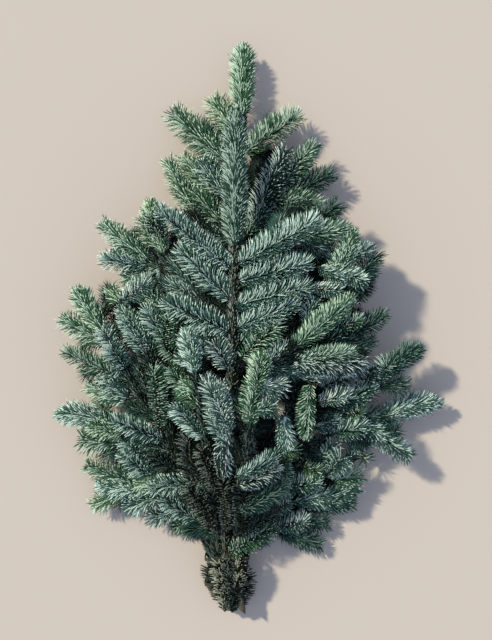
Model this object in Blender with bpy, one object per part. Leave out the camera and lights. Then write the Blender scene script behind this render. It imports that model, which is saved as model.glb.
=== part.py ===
"""A bunch of cut fir boughs, tied at the foot and lying flat in the outline of a small tree.

Twelve tapering stems fan out of two ties near their cut ends. Each carries masses of needles: one over its
leader and one for each strong side shoot, or for each close group of them. Metres, +Z up, +Y towards the tip of
the longest bough.
"""
import math
import random
from typing import NamedTuple

import bmesh
import bpy
from mathutils import Vector

MM = 0.001
GAP = 0.3 * MM  # air between neighbouring solids

# The tied foot
NECK_X = -29 * MM  # middle of the bunch where it is tied
NECK_Y = -316 * MM
TIE_LEVELS = {"tie_upper": 0 * MM, "tie_lower": -34 * MM}  # each tie's place along Y, from the neck
TIE_HALF_WIDTH = 29.6 * MM
TIE_LOW = 1.4 * MM  # height of the tie's middle line under and over the stems
TIE_HIGH = 41 * MM
TIE_RADIUS = 1.1 * MM
TIE_CORNER = 9 * MM
TIE_SEGMENTS = 4  # per quarter turn
TIE_SIDES = 5

# Stems
STEM_SIDES = 7
STEM_RINGS = 8
TIP_RADIUS = 1.3 * MM
STEM_OVERLAP = 30 * MM  # how far a stem runs into the mass over its leader

# Needle masses
NEEDLE_REACH = 9 * MM  # needles stand this far past the end of their shoot
MASS_SIDES = 7
MASS_RINGS = 5
LEADER_RINGS = 6
LEADER_STEPS = 20  # points on the line that a leader's mass follows
WAVES = 4  # ripples that make each mass uneven in its own way
FLATNESS = 0.86  # a mass's height over its breadth
BLUNTNESS = 0.4  # lower is blunter at both ends
FULLEST = 0.72  # lower moves the fullest place towards the root of the shoot
UNEVENNESS = 0.13
SEED = 7
FLOOR = 0.0


class Spray(NamedTuple):
    """One mass: how far back from the stem's tip its shoot leaves, its angle there, its length and its breadth."""

    name: str
    back: float
    angle: float
    length: float
    breadth: float


class Bough(NamedTuple):
    """One stem. across and level place it in the tied neck; bend and tip are the points it runs through.

    cut is its cut end's place along Y, lean how far that end stands to the side, and slant the angle of the cut.
    """

    name: str
    across: float
    level: float
    cut: float
    radius: float
    bend: tuple
    tip: tuple
    heading: float
    leader: float
    leader_breadth: float
    sprays: tuple
    lean: float = 0.0
    slant: float = 0.0


# From the top of the pile to its bottom, in millimetres and degrees. Angles left of the stem are negative.
BOUGHS = (
    Bough("top_right", 14.5, 32, -328, 4.4, (-4, -179, 92), (17, -32, 119), 9, 170, 58, (
        Spray("right", 89, 56, 56, 50),
        Spray("right_low", 176, 60, 92, 56),
        Spray("left", 111, -40, 94, 48))),
    Bough("top_left", -13, 31, -360, 4.4, (-53, -158, 86), (-80, 0, 110), -12, 180, 64, ()),
    Bough("upper", 0, 31.6, -391, 5.6, (-21, -55, 94), (-17, 284, 92), 0, 200, 46, (
        Spray("right_tip", 222, 50, 145, 46),
        Spray("left_tip", 232, -45, 145, 50),
        Spray("right_mid", 262, 56, 126, 56),
        Spray("right_low", 318, 55, 112, 58),
        Spray("left_low", 300, -55, 122, 74)), lean=20, slant=40),
    Bough("left_high", -5.8, 20, -374, 4.9, (-74, -85, 55), (-130, 168, 75), -14, 200, 50, (
        Spray("left_tip", 74, -50, 99, 46),
        Spray("left_mid", 128, -55, 112, 56))),
    Bough("right_high", 6.0, 20.2, -352, 4.9, (53, -114, 60), (138, 129, 82), 18, 300, 58, (
        Spray("right_tip", 75, 40, 75, 56),)),
    Bough("left_mid", -17.3, 19.5, -371, 4.7, (-122, -134, 45), (-231, 52, 58), -33, 220, 54, (
        Spray("left_tip", 92, -42, 76, 60),
        Spray("left_low", 123, -50, 90, 54),
        Spray("right", 170, 45, 131, 60))),
    Bough("right_mid", 17.3, 19.5, -367, 4.7, (93, -160, 45), (231, -27, 58), 50, 230, 56, (
        Spray("left_tip", 110, -30, 110, 66),
        Spray("right_tip", 73, 50, 50, 52),
        Spray("left_low", 180, -45, 110, 70))),
    Bough("left_low", -12.4, 7.9, -377, 4.6, (-134, -193, 24), (-262, -124, 32), -73, 190, 48, (
        Spray("left_tip", 100, -38, 60, 54),
        Spray("right_tip", 78, 40, 78, 50),
        Spray("right_low", 135, 60, 139, 64))),
    Bough("right_low", 13.4, 7.9, -352, 4.5, (105, -208, 21), (264, -106, 29), 59, 220, 50, (
        Spray("left_tip", 150, -40, 80, 60),
        Spray("right_tip", 112, 60, 65, 56))),
    Bough("main", 0, 9.5, -393, 6.8, (-18, 17, 21), (-7, 384, 27), 1, 108, 48, (
        Spray("right_tip", 166, 50, 106, 46),
        Spray("left_tip", 184, -49, 128, 52),
        Spray("left_low", 246, -52, 124, 56),
        Spray("right_low", 266, 48, 160, 68)), lean=4.2),
    Bough("left_foot", -22.4, 7.9, -366, 4.4, (-114, -240, 20), (-212, -218, 24), -87, 130, 54, (
        Spray("left", 90, -36, 56, 48),
        Spray("left_low", 142, -50, 62, 52),
        Spray("right", 90, 55, 90, 62))),
    Bough("right_foot", 23.2, 7.9, -362, 4.2, (52, -266, 16), (148, -238, 20), 78, 124, 54, (
        Spray("right_low", 128, 50, 84, 46),)),
)
# Short needles round the cut ends, each as its shoot's root, tip and breadth.
FOOT_MASSES = {
    "foot_left_needles": ((-47, -372, 15), (-59, -328, 20), 26),
    "foot_right_needles": ((-8, -380, 18), (8, -346, 22), 26),
    "foot_top_needles": ((-30, -356, 40), (-26, -322, 46), 30),
}

NEEDLE_COLOUR = (0.045, 0.085, 0.065, 1)
BARK_COLOUR = (0.11, 0.075, 0.035, 1)
TIE_COLOUR = (0.62, 0.55, 0.38, 1)


def clear_scene():
    """Remove every object that the file opened with."""
    for obj in list(bpy.data.objects):
        bpy.data.objects.remove(obj, do_unlink=True)


def finish(name, colour, roughness):
    """A plain material of this colour."""
    material = bpy.data.materials.new(name)
    material.use_nodes = True
    shader = material.node_tree.nodes["Principled BSDF"]
    shader.inputs["Base Color"].default_value = colour
    shader.inputs["Roughness"].default_value = roughness
    shader.inputs["Metallic"].default_value = 0.0
    return material


def heading_vector(degrees, rise=0.0):
    """The direction that is this many degrees right of +Y, rising by this share of its length."""
    angle = math.radians(degrees)
    return Vector((math.sin(angle), math.cos(angle), rise)).normalized()


def hermite(start, end, leave, arrive, share):
    """A point on the cubic from start to end that leaves and arrives along these slopes."""
    s2, s3 = share ** 2, share ** 3
    return (start * (2 * s3 - 3 * s2 + 1) + leave * (s3 - 2 * s2 + share)
            + end * (3 * s2 - 2 * s3) + arrive * (s3 - s2))


def bough_path(bough, count=160):
    """The middle line of a stem, from its cut end to its tip, as count evenly spaced points."""
    neck = Vector((NECK_X + bough.across * MM, NECK_Y, bough.level * MM))
    cut_end = Vector((neck.x + bough.lean * MM, bough.cut * MM, neck.z))
    knots = [cut_end, neck, Vector(bough.bend) * MM, Vector(bough.tip) * MM]
    spans = [(b - a).length for a, b in zip(knots, knots[1:])]
    slopes = [(b - a) / span for a, b, span in zip(knots, knots[1:], spans)]
    directions = [Vector((0, 1, 0))]
    for before, after, span_before, span_after in zip(slopes, slopes[1:], spans, spans[1:]):
        directions.append((before * span_after + after * span_before) / (span_before + span_after))
    directions.append(heading_vector(bough.heading))
    dense = []
    for i, span in enumerate(spans):
        leave, arrive = directions[i] * span, directions[i + 1] * span
        dense += [hermite(knots[i], knots[i + 1], leave, arrive, k / count) for k in range(count)]
    dense.append(knots[-1])
    return resample(dense, count)


def resample(points, count):
    """The same line as count points, evenly spaced along it."""
    reach = [0.0]
    for a, b in zip(points, points[1:]):
        reach.append(reach[-1] + (b - a).length)
    spaced = []
    index = 0
    for k in range(count):
        wanted = reach[-1] * k / (count - 1)
        while index < len(points) - 2 and reach[index + 1] < wanted:
            index += 1
        share = (wanted - reach[index]) / (reach[index + 1] - reach[index])
        spaced.append(points[index].lerp(points[index + 1], share))
    return spaced


def line_length(points):
    """The length of a line of points."""
    return sum((b - a).length for a, b in zip(points, points[1:]))


def place_on(points, distance):
    """The point this far along the line, and the line's direction there."""
    share = max(0.0, min(1.0, distance / line_length(points))) * (len(points) - 1)
    index = min(int(share), len(points) - 2)
    step = points[index + 1] - points[index]
    return points[index] + step * (share - index), step.normalized()


def skin(name, rings, material, ends=None):
    """A closed solid over rings of points, its ends closed by the two poles in ends, or flat where there are none."""
    mesh = bpy.data.meshes.new(name)
    bm = bmesh.new()
    loops = [[bm.verts.new(point) for point in ring] for ring in rings]
    sides = len(loops[0])
    for lower, upper in zip(loops, loops[1:]):
        for k in range(sides):
            following = (k + 1) % sides
            bm.faces.new((lower[k], lower[following], upper[following]))
            bm.faces.new((lower[k], upper[following], upper[k]))
    if ends is None:
        bm.faces.new(loops[0][::-1])
        bm.faces.new(loops[-1])
    else:
        first, last = (bm.verts.new(point) for point in ends)
        for k in range(sides):
            bm.faces.new((first, loops[0][(k + 1) % sides], loops[0][k]))
            bm.faces.new((last, loops[-1][k], loops[-1][(k + 1) % sides]))
    bmesh.ops.recalc_face_normals(bm, faces=bm.faces)
    bm.to_mesh(mesh)
    bm.free()
    mesh.materials.append(material)
    obj = bpy.data.objects.new(name, mesh)
    bpy.context.scene.collection.objects.link(obj)
    return obj


def across_and_up(direction):
    """Two directions square to this one: level, to its right, and upward."""
    right = direction.cross(Vector((0, 0, 1))).normalized()
    return right, right.cross(direction).normalized()


def stem(bough, material, grow=0.0):
    """The tapering stem from its cut end into the mass over its leader, wider and longer by grow for a cutter."""
    points = bough_path(bough)
    length = line_length(points) - bough.leader * MM + STEM_OVERLAP
    rings = []
    for k in range(STEM_RINGS):
        share = k / (STEM_RINGS - 1)
        centre, direction = place_on(points, length * share)
        if k == 0:
            direction = Vector((0, 1, 0))
            centre = centre - direction * grow
        if k == STEM_RINGS - 1:
            centre = centre + direction * grow
        right, up = across_and_up(direction)
        radius = bough.radius * MM * (1 - share) ** 0.8 + TIP_RADIUS * share + grow
        lean_back = math.tan(math.radians(bough.slant)) if k == 0 else 0.0
        ring = []
        for side in range(STEM_SIDES):
            turn = 2 * math.pi * (side + 0.5) / STEM_SIDES
            level = radius * math.cos(turn)
            ring.append(centre + right * level + up * radius * math.sin(turn)
                        + direction * (radius - level) * lean_back)
        rings.append(ring)
    return skin(bough.name + "_stem", rings, material)


def needle_mass(name, line, breadth, ring_count, material, grow=0.0):
    """An uneven plume of needles round a shoot's line, flat underneath where it would pass the floor."""
    rng = random.Random(f"{SEED}{name}")
    waves = [(rng.choice((2, 3, 4)), rng.uniform(0, math.tau), rng.uniform(3, 9), rng.uniform(0.5, 1))
             for _ in range(WAVES)]
    length = line_length(line)
    rings = []
    for k in range(1, ring_count + 1):
        share = (1 - math.cos(math.pi * k / (ring_count + 1))) / 2
        centre, direction = place_on(line, length * share)
        right, up = across_and_up(direction)
        fullness = math.sin(math.pi * share ** FULLEST) ** BLUNTNESS
        ring = []
        for side in range(MASS_SIDES):
            turn = 2 * math.pi * side / MASS_SIDES
            swell = sum(size * math.sin(lobes * turn + phase + twist * share)
                        for lobes, phase, twist, size in waves)
            radius = breadth / 2 * fullness * (1 + UNEVENNESS * swell / 2)
            point = (centre + right * (radius + grow) * math.cos(turn)
                     + up * (radius * FLATNESS + grow) * math.sin(turn))
            point.z = max(point.z, FLOOR - grow)
            ring.append(point)
        rings.append(ring)
    poles = (line[0] - (line[1] - line[0]).normalized() * grow,
             line[-1] + (line[-1] - line[-2]).normalized() * grow)
    return skin(name, rings, material, poles)


def tie(name, along, material, grow=0.0):
    """A ring of cord drawn round the stems: a rounded oblong of round section, square to the bunch."""
    corners = []
    half_height = (TIE_HIGH - TIE_LOW) / 2
    middle = Vector((NECK_X, NECK_Y + along, (TIE_HIGH + TIE_LOW) / 2))
    for quarter, (sx, sz) in enumerate(((1, 1), (-1, 1), (-1, -1), (1, -1))):
        centre = middle + Vector((sx * (TIE_HALF_WIDTH - TIE_CORNER), 0, sz * (half_height - TIE_CORNER)))
        for k in range(TIE_SEGMENTS):
            turn = math.pi / 2 * (quarter + k / (TIE_SEGMENTS - 1))
            outward = Vector((math.cos(turn), 0, math.sin(turn)))
            corners.append((centre + outward * TIE_CORNER, outward))
    rings = []
    for point, outward in corners:
        ring = []
        for side in range(TIE_SIDES):
            turn = 2 * math.pi * side / TIE_SIDES
            offset = outward * math.cos(turn) + Vector((0, 1, 0)) * math.sin(turn)
            ring.append(point + offset * (TIE_RADIUS + grow))
        rings.append(ring)
    mesh = bpy.data.meshes.new(name)
    bm = bmesh.new()
    loops = [[bm.verts.new(point) for point in ring] for ring in rings]
    for k, loop in enumerate(loops):
        after = loops[(k + 1) % len(loops)]
        for side in range(TIE_SIDES):
            following = (side + 1) % TIE_SIDES
            bm.faces.new((loop[side], loop[following], after[following], after[side]))
    bmesh.ops.recalc_face_normals(bm, faces=bm.faces)
    bm.to_mesh(mesh)
    bm.free()
    mesh.materials.append(material)
    obj = bpy.data.objects.new(name, mesh)
    bpy.context.scene.collection.objects.link(obj)
    return obj


def as_cutter(obj):
    """Mark a solid as one that only cuts others."""
    obj.name = "cut_" + obj.name
    obj.hide_render = True
    obj.display_type = "WIRE"
    return obj


def box_of(obj):
    """The lowest and highest corners of a mesh object at the origin."""
    xs, ys, zs = zip(*(vertex.co for vertex in obj.data.vertices))
    return (min(xs), min(ys), min(zs)), (max(xs), max(ys), max(zs))


def boxes_meet(a, b):
    """True if the two objects' boxes overlap."""
    (low_a, high_a), (low_b, high_b) = box_of(a), box_of(b)
    return all(low_a[i] < high_b[i] and low_b[i] < high_a[i] for i in range(3))


def cut_round(obj, cutters):
    """Cut the object round its neighbours, and keep the largest body that is left."""
    for cutter in cutters:
        if boxes_meet(obj, cutter):
            modifier = obj.modifiers.new(cutter.name, "BOOLEAN")
            modifier.operation = "DIFFERENCE"
            modifier.solver = "EXACT"
            modifier.object = cutter
    graph = bpy.context.evaluated_depsgraph_get()
    cut = bpy.data.meshes.new_from_object(obj.evaluated_get(graph))
    obj.modifiers.clear()
    obj.data = cut
    keep_largest(obj.data)


def keep_largest(mesh):
    """Delete all but the body with the largest volume."""
    bm = bmesh.new()
    bm.from_mesh(mesh)
    bodies = []
    unseen = set(bm.faces)
    while unseen:
        stack = [unseen.pop()]
        body = []
        while stack:
            face = stack.pop()
            body.append(face)
            for edge in face.edges:
                for other in edge.link_faces:
                    if other in unseen:
                        unseen.remove(other)
                        stack.append(other)
        bodies.append(body)
    bodies.sort(key=lambda body: sum(face.calc_area() for face in body))
    for body in bodies[:-1]:
        bmesh.ops.delete(bm, geom=body, context="FACES")
    bm.to_mesh(mesh)
    bm.free()


def mass_lines():
    """(name, line, breadth, rings) of every needle mass, from the top of the pile to its bottom."""
    for bough in BOUGHS:
        points = bough_path(bough)
        length = line_length(points)
        leader = [place_on(points, length - bough.leader * MM * (1 - k / LEADER_STEPS))[0]
                  for k in range(LEADER_STEPS + 1)]
        leader[-1] += place_on(points, length)[1] * NEEDLE_REACH
        yield f"{bough.name}_leader_needles", leader, bough.leader_breadth * MM, LEADER_RINGS
        for spray in bough.sprays:
            root, along = place_on(points, length - spray.back * MM)
            heading = math.degrees(math.atan2(along.x, along.y)) + spray.angle
            end = root + heading_vector(heading) * (spray.length * MM + NEEDLE_REACH)
            yield f"{bough.name}_{spray.name}_needles", [root, end], spray.breadth * MM, MASS_RINGS
    for name, (root, tip, breadth) in FOOT_MASSES.items():
        yield name, [Vector(root) * MM, Vector(tip) * MM], breadth * MM, MASS_RINGS


def centre_on_origin(objects):
    """Shift the finished solids so that the middle of their common box's underside is at the origin."""
    lows, highs = zip(*(box_of(obj) for obj in objects))
    low = Vector(min(corner[i] for corner in lows) for i in range(3))
    high = Vector(max(corner[i] for corner in highs) for i in range(3))
    shift = Vector((-(low.x + high.x) / 2, -(low.y + high.y) / 2, -low.z))
    for obj in objects:
        for vertex in obj.data.vertices:
            vertex.co += shift


def build():
    """Make the stems, the ties and the masses, each mass cut round the stems, the ties and the masses before it."""
    clear_scene()
    needles = finish("needles", NEEDLE_COLOUR, 0.5)
    bark = finish("bark", BARK_COLOUR, 0.8)
    cord = finish("tie", TIE_COLOUR, 0.7)
    solids = []
    cutters = []
    for bough in BOUGHS:
        solids.append(stem(bough, bark))
        cutters.append(as_cutter(stem(bough, bark, grow=GAP)))
    for name, along in TIE_LEVELS.items():
        solids.append(tie(name, along, cord))
        cutters.append(as_cutter(tie(name, along, cord, grow=GAP)))
    for name, line, breadth, rings in mass_lines():
        mass = needle_mass(name, line, breadth, rings, needles)
        cut_round(mass, cutters)
        solids.append(mass)
        cutters.append(as_cutter(needle_mass(name, line, breadth, rings, needles, grow=GAP)))
    centre_on_origin(solids)


build()
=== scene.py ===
"""Looks of a bunch of cut fir boughs, tied at the foot and lying flat in the outline of a small tree.

Every bough grows by one rule: a stem, side shoots where they are listed or seen to be, smaller shoots that
a seeded generator sets on those, and needles all along. Lengths in the tables are millimetres and angles
are degrees; a Seen row's first two numbers are pixels of the view from above.
"""

import logging
import math
from dataclasses import dataclass, field
from enum import Enum
from typing import Any, Iterator, Sequence, Union

import bpy
import numpy as np
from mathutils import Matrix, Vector


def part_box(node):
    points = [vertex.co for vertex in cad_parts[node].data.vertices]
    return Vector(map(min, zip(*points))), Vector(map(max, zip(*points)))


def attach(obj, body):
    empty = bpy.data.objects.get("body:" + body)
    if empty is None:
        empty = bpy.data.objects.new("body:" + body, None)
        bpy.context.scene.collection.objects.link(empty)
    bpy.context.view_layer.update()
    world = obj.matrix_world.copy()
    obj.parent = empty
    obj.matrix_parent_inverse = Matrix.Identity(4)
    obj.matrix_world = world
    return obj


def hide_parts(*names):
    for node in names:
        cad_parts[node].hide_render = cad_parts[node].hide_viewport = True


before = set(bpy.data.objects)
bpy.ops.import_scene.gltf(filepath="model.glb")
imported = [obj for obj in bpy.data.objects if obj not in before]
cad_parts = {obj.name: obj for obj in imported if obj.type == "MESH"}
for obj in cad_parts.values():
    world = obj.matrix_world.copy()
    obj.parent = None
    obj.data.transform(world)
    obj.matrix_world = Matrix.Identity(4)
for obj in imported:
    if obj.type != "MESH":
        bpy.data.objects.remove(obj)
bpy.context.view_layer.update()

LOG = logging.getLogger("fir_bunch")
MM = 0.001
GOLDEN_ANGLE = math.radians(137.508)
UP = np.array([0.0, 0.0, 1.0])
TOWARDS_TIP = np.array([0.0, 1.0, 0.0])
SEED = 29

NumberLike = Union["Socket", float]


# ---------------------------------------------------------------- colours and finishes


class Tone(Enum):
    """The colour of one spray's needles."""

    BLUE = "blue"
    TEAL = "teal"
    SEA = "sea"
    GREEN = "green"
    SILVER = "silver"
    FRESH = "fresh"
    SHADE = "shade"
    OLIVE = "olive"
    # Near-black needles: painted shade for the pile's dark inside, its hollows and its old inner needles.
    DEEP_SHADE = "deep"
    FROST = "frost"
    DRY = "dry"


@dataclass(frozen=True)
class NeedleFinish:
    """Waxy needles of one tone: the colour of their dark faces, and of the pale banded ones."""

    upper: tuple[float, float, float]
    band: tuple[float, float, float]
    roughness: float = 0.38
    upper_gloss: float = 0.12
    band_gloss: float = 0.8

    def materials(self, tone: Tone) -> list[bpy.types.Material]:
        """The upper and the banded material of this tone.

        Args:
            tone: The tone, which names the materials.

        Returns:
            Two plain materials, upper first.
        """
        made = []
        parts = (("upper", self.upper, self.upper_gloss), ("band", self.band, self.band_gloss))
        for part, colour, gloss in parts:
            graph = Graph(f"needle_{tone.value}_{part}")
            graph.surface(colour, self.roughness, gloss=gloss)
            made.append(graph.material)
        return made


NEEDLE_FINISHES: dict[Tone, NeedleFinish] = {
    Tone.BLUE: NeedleFinish((0.062, 0.144, 0.114), (0.560, 0.770, 0.680)),
    Tone.TEAL: NeedleFinish((0.034, 0.092, 0.074), (0.430, 0.620, 0.550)),
    Tone.SEA: NeedleFinish((0.025, 0.072, 0.050), (0.310, 0.455, 0.390)),
    Tone.GREEN: NeedleFinish((0.048, 0.130, 0.072), (0.470, 0.670, 0.520)),
    Tone.SILVER: NeedleFinish((0.095, 0.188, 0.155), (0.730, 0.890, 0.810)),
    Tone.FRESH: NeedleFinish((0.066, 0.155, 0.078), (0.500, 0.690, 0.510)),
    Tone.SHADE: NeedleFinish((0.015, 0.055, 0.042), (0.130, 0.230, 0.190)),
    Tone.OLIVE: NeedleFinish((0.005, 0.012, 0.008), (0.185, 0.235, 0.195)),
    # The near-black deep tone is painted shade.
    Tone.DEEP_SHADE: NeedleFinish((0.003, 0.010, 0.008), (0.045, 0.085, 0.068)),
    Tone.FROST: NeedleFinish((0.014, 0.040, 0.033), (0.500, 0.650, 0.600)),
    Tone.DRY: NeedleFinish((0.005, 0.010, 0.005), (0.430, 0.490, 0.370)),
}


class Socket:
    """A number in a shader, which the usual operators work on."""

    def __init__(self, graph: "Graph", output: bpy.types.NodeSocket) -> None:
        """Keep the graph and the output that gives the number."""
        self.graph = graph
        self.output = output

    def _math(self, operation: str, *values: NumberLike) -> "Socket":
        """A Math node over these values."""
        return self.graph.node("ShaderNodeMath", {"operation": operation}, dict(enumerate(values)))

    def __add__(self, other: NumberLike) -> "Socket":
        """Sum."""
        return self._math("ADD", self, other)

    def __radd__(self, other: NumberLike) -> "Socket":
        """Sum with the number first."""
        return self._math("ADD", other, self)

    def __sub__(self, other: NumberLike) -> "Socket":
        """Difference."""
        return self._math("SUBTRACT", self, other)

    def __rsub__(self, other: NumberLike) -> "Socket":
        """Difference with the number first."""
        return self._math("SUBTRACT", other, self)

    def __mul__(self, other: NumberLike) -> "Socket":
        """Product."""
        return self._math("MULTIPLY", self, other)

    def __rmul__(self, other: NumberLike) -> "Socket":
        """Product with the number first."""
        return self._math("MULTIPLY", other, self)

    def __pow__(self, other: NumberLike) -> "Socket":
        """Power."""
        return self._math("POWER", self, other)


class Graph:
    """One material and the nodes that make it."""

    def __init__(self, name: str) -> None:
        """Start a material of this name with nothing but its shader and output."""
        self.material = bpy.data.materials.new(name)
        self.material.use_nodes = True
        self.tree = self.material.node_tree
        self.shader = self.tree.nodes["Principled BSDF"]

    def node(self, kind: str, settings: dict[str, Any], values: dict[Any, Any], output: int = 0) -> Socket:
        """Add a node.

        Args:
            kind: The node's type.
            settings: Its properties.
            values: What goes into its inputs, by name or number: a Socket or a plain value.
            output: Which output to give back.

        Returns:
            The output as a Socket.
        """
        made = self.tree.nodes.new(kind)
        for key, value in settings.items():
            setattr(made, key, value)
        for key, value in values.items():
            if isinstance(value, Socket):
                self.tree.links.new(value.output, made.inputs[key])
            else:
                made.inputs[key].default_value = value
        return Socket(self, made.outputs[output])

    def place(self) -> Socket:
        """The object's own coordinates."""
        return self.node("ShaderNodeTexCoord", {}, {}, output=3)

    def noise(self, scale: float, detail: float = 3.0,
              stretch: tuple[float, float, float] = (1, 1, 1)) -> Socket:
        """A noise of this many grains a metre, stretched along the axes."""
        at = self.node("ShaderNodeMapping", {}, {"Vector": self.place(), "Scale": stretch})
        return self.node("ShaderNodeTexNoise", {}, {"Vector": at, "Scale": scale, "Detail": detail})

    def blend(self, share: NumberLike, low: tuple[float, float, float],
              high: tuple[float, float, float]) -> Socket:
        """A colour between low and high."""
        return self.node("ShaderNodeMix", {"data_type": "RGBA"},
                         {0: share, 6: (*low, 1.0), 7: (*high, 1.0)}, output=2)

    def ramp(self, value: Socket, start: float, end: float) -> Socket:
        """The value stretched so that start gives 0 and end gives 1."""
        return self.node("ShaderNodeMapRange", {}, {"Value": value, "From Min": start, "From Max": end})

    def surface(self, colour: Union[Socket, tuple[float, float, float]], roughness: NumberLike,
                height: Union[Socket, None] = None, relief: float = 0.0, gloss: float = 0.5) -> None:
        """Dress the shader.

        Args:
            colour: The base colour.
            roughness: The roughness.
            height: A number that stands for height, for a bump.
            relief: How deep that bump is, in metres.
            gloss: How strongly it mirrors.
        """
        self.shader.inputs["Specular IOR Level"].default_value = gloss
        if isinstance(colour, Socket):
            self.tree.links.new(colour.output, self.shader.inputs["Base Color"])
        else:
            self.shader.inputs["Base Color"].default_value = (*colour, 1.0)
        if isinstance(roughness, Socket):
            self.tree.links.new(roughness.output, self.shader.inputs["Roughness"])
        else:
            self.shader.inputs["Roughness"].default_value = roughness
        if height is not None:
            bump = self.node("ShaderNodeBump", {}, {"Height": height, "Distance": relief, "Strength": 1.0})
            self.tree.links.new(bump.output, self.shader.inputs["Normal"])


@dataclass(frozen=True)
class BarkAndShadeFinish:
    """Olive-brown young bark with paler lenticels and fine cracks along the stem, kept darker than its own colour
    as painted shade.
    """

    dark: tuple[float, float, float] = (0.030, 0.028, 0.015)
    light: tuple[float, float, float] = (0.070, 0.066, 0.038)
    grain: float = 420.0
    relief: float = 0.5 * MM

    def material(self) -> bpy.types.Material:
        """The bark's material."""
        graph = Graph("bark")
        coarse = graph.noise(self.grain, 5.0, (1, 0.35, 1))
        fine = graph.noise(self.grain * 4, 2.0)
        mottle = graph.ramp(coarse * 0.7 + fine * 0.3, 0.35, 0.68)
        graph.surface(graph.blend(mottle, self.dark, self.light), 0.9 - mottle * 0.2, mottle, self.relief)
        return graph.material


@dataclass(frozen=True)
class CutWoodFinish:
    """Fresh pale wood of a sawn end, with faint growth rings."""

    early: tuple[float, float, float] = (0.62, 0.47, 0.28)
    late: tuple[float, float, float] = (0.40, 0.26, 0.13)
    rings: float = 900.0

    def material(self) -> bpy.types.Material:
        """The cut end's material."""
        graph = Graph("cut_wood")
        bent = graph.noise(160.0, 2.0)
        wave = graph.node("ShaderNodeTexWave", {"wave_type": "RINGS", "rings_direction": "Y"},
                          {"Vector": graph.place(), "Scale": self.rings / 20, "Distortion": 2.0}, output=1)
        graph.surface(graph.blend(wave * 0.6 + bent * 0.4, self.early, self.late), 0.75)
        return graph.material


@dataclass(frozen=True)
class CordFinish:
    """Dull green-brown binding cord with a fine twist."""

    shade: tuple[float, float, float] = (0.012, 0.016, 0.008)
    light: tuple[float, float, float] = (0.045, 0.050, 0.028)

    def material(self) -> bpy.types.Material:
        """The cord's material."""
        graph = Graph("cord")
        twist = graph.node("ShaderNodeTexWave", {"bands_direction": "DIAGONAL"},
                           {"Vector": graph.place(), "Scale": 260.0, "Distortion": 1.5}, output=1)
        graph.surface(graph.blend(twist, self.shade, self.light), 0.85, twist, 0.2 * MM)
        return graph.material


@dataclass(frozen=True)
class PlainFinish:
    """One colour all over."""

    name: str
    colour: tuple[float, float, float]
    roughness: float

    def material(self) -> bpy.types.Material:
        """The plain material."""
        graph = Graph(self.name)
        graph.surface(self.colour, self.roughness)
        return graph.material


# Twig bark kept darker than its own brown: partly its colour, partly painted shade.
TWIG_BARK_AND_SHADE_FINISH = PlainFinish("twig_bark_and_shade", (0.060, 0.055, 0.026), 0.8)
BUD_FINISH = PlainFinish("bud", (0.300, 0.190, 0.080), 0.5)
FLOOR_FINISH = PlainFinish("floor", (0.424, 0.393, 0.348), 0.95)


# ---------------------------------------------------------------- how the bunch is laid out


@dataclass(frozen=True)
class Sweep:
    """What needles lean towards: a level heading, and how much of it there is for each part of straight up.

    parted is how far the needles on that side lie down along the shoot.
    """

    heading: float
    tilt: float
    parted: float = 0.0

    def vector(self) -> np.ndarray:
        """The direction."""
        return unit(UP + heading_vector(self.heading) * self.tilt)


@dataclass(frozen=True)
class Side:
    """A side shoot: how far from its stem's tip it leaves, where it ends, its colour, and its needles' sweep.

    bow curves it to the right, as a share of its length. old is the share of it, from its root, that has only
    short needles, near-black as painted shade.
    """

    back: float
    tip: tuple[float, float, float]
    tone: Tone
    sweep: Sweep
    bow: float = 0.0
    old: float = 0.0


@dataclass(frozen=True)
class Seen:
    """A side shoot as it is seen from straight above: where it comes into view and where it ends.

    Each is a column and a row of the view in pixels, and a height in millimetres. Where on its bough's stem
    the shoot leaves is worked out from them by Placing.
    """

    name: str
    start: tuple[float, float, float]
    end: tuple[float, float, float]
    tone: Tone
    sweep: Sweep
    bow: float = 0.0
    old: float = 0.0


@dataclass(frozen=True)
class Bough:
    """One bough. across and level place its stem in the tied neck; bend and tip are the points it runs
    through.

    leader is the length of its last shoot and cad_leader of the mass round it, needle the length of its
    needles, and tones are the colours of its leader and of small shoots. leader_bow curves its last shoot
    to the right. lean and slant shape its cut end, and old_tone is the colour of the needles that lie along
    its stem.
    """

    name: str
    across: float
    level: float
    cut: float
    radius: float
    bend: tuple[float, float, float]
    tip: tuple[float, float, float]
    heading: float
    leader: float
    cad_leader: float
    sides: tuple[Union[Side, Seen], ...]
    tones: tuple[Tone, ...]
    sweep: Sweep
    leader_sweep: Sweep = Sweep(0, 0.1, 0.35)
    leader_bow: float = 0.0
    needle: float = 22.0
    lean: float = 0.0
    slant: float = 0.0
    old_tone: Tone = Tone.DEEP_SHADE


NECK_X = -29.0
NECK_Y = -316.0
CURTAIN = Sweep(-5, 1.1)
LOW_CURTAIN = Sweep(-5, 0.9)
FLAT = Sweep(0, 0.15, 0.55)
RAISED = Sweep(0, 0.5, 0.05)
FRINGED = Sweep(-10, 1.4)
LEFT_FRINGED = Sweep(80, 1.3)
RIGHT_FRINGED = Sweep(-90, 1.3)
LOW_FRINGED = Sweep(20, 1.3)
RIGHTWARD = Sweep(70, 0.6)
FALLING = Sweep(170, 0.45)
HANGING = Sweep(195, 0.9)

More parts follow.
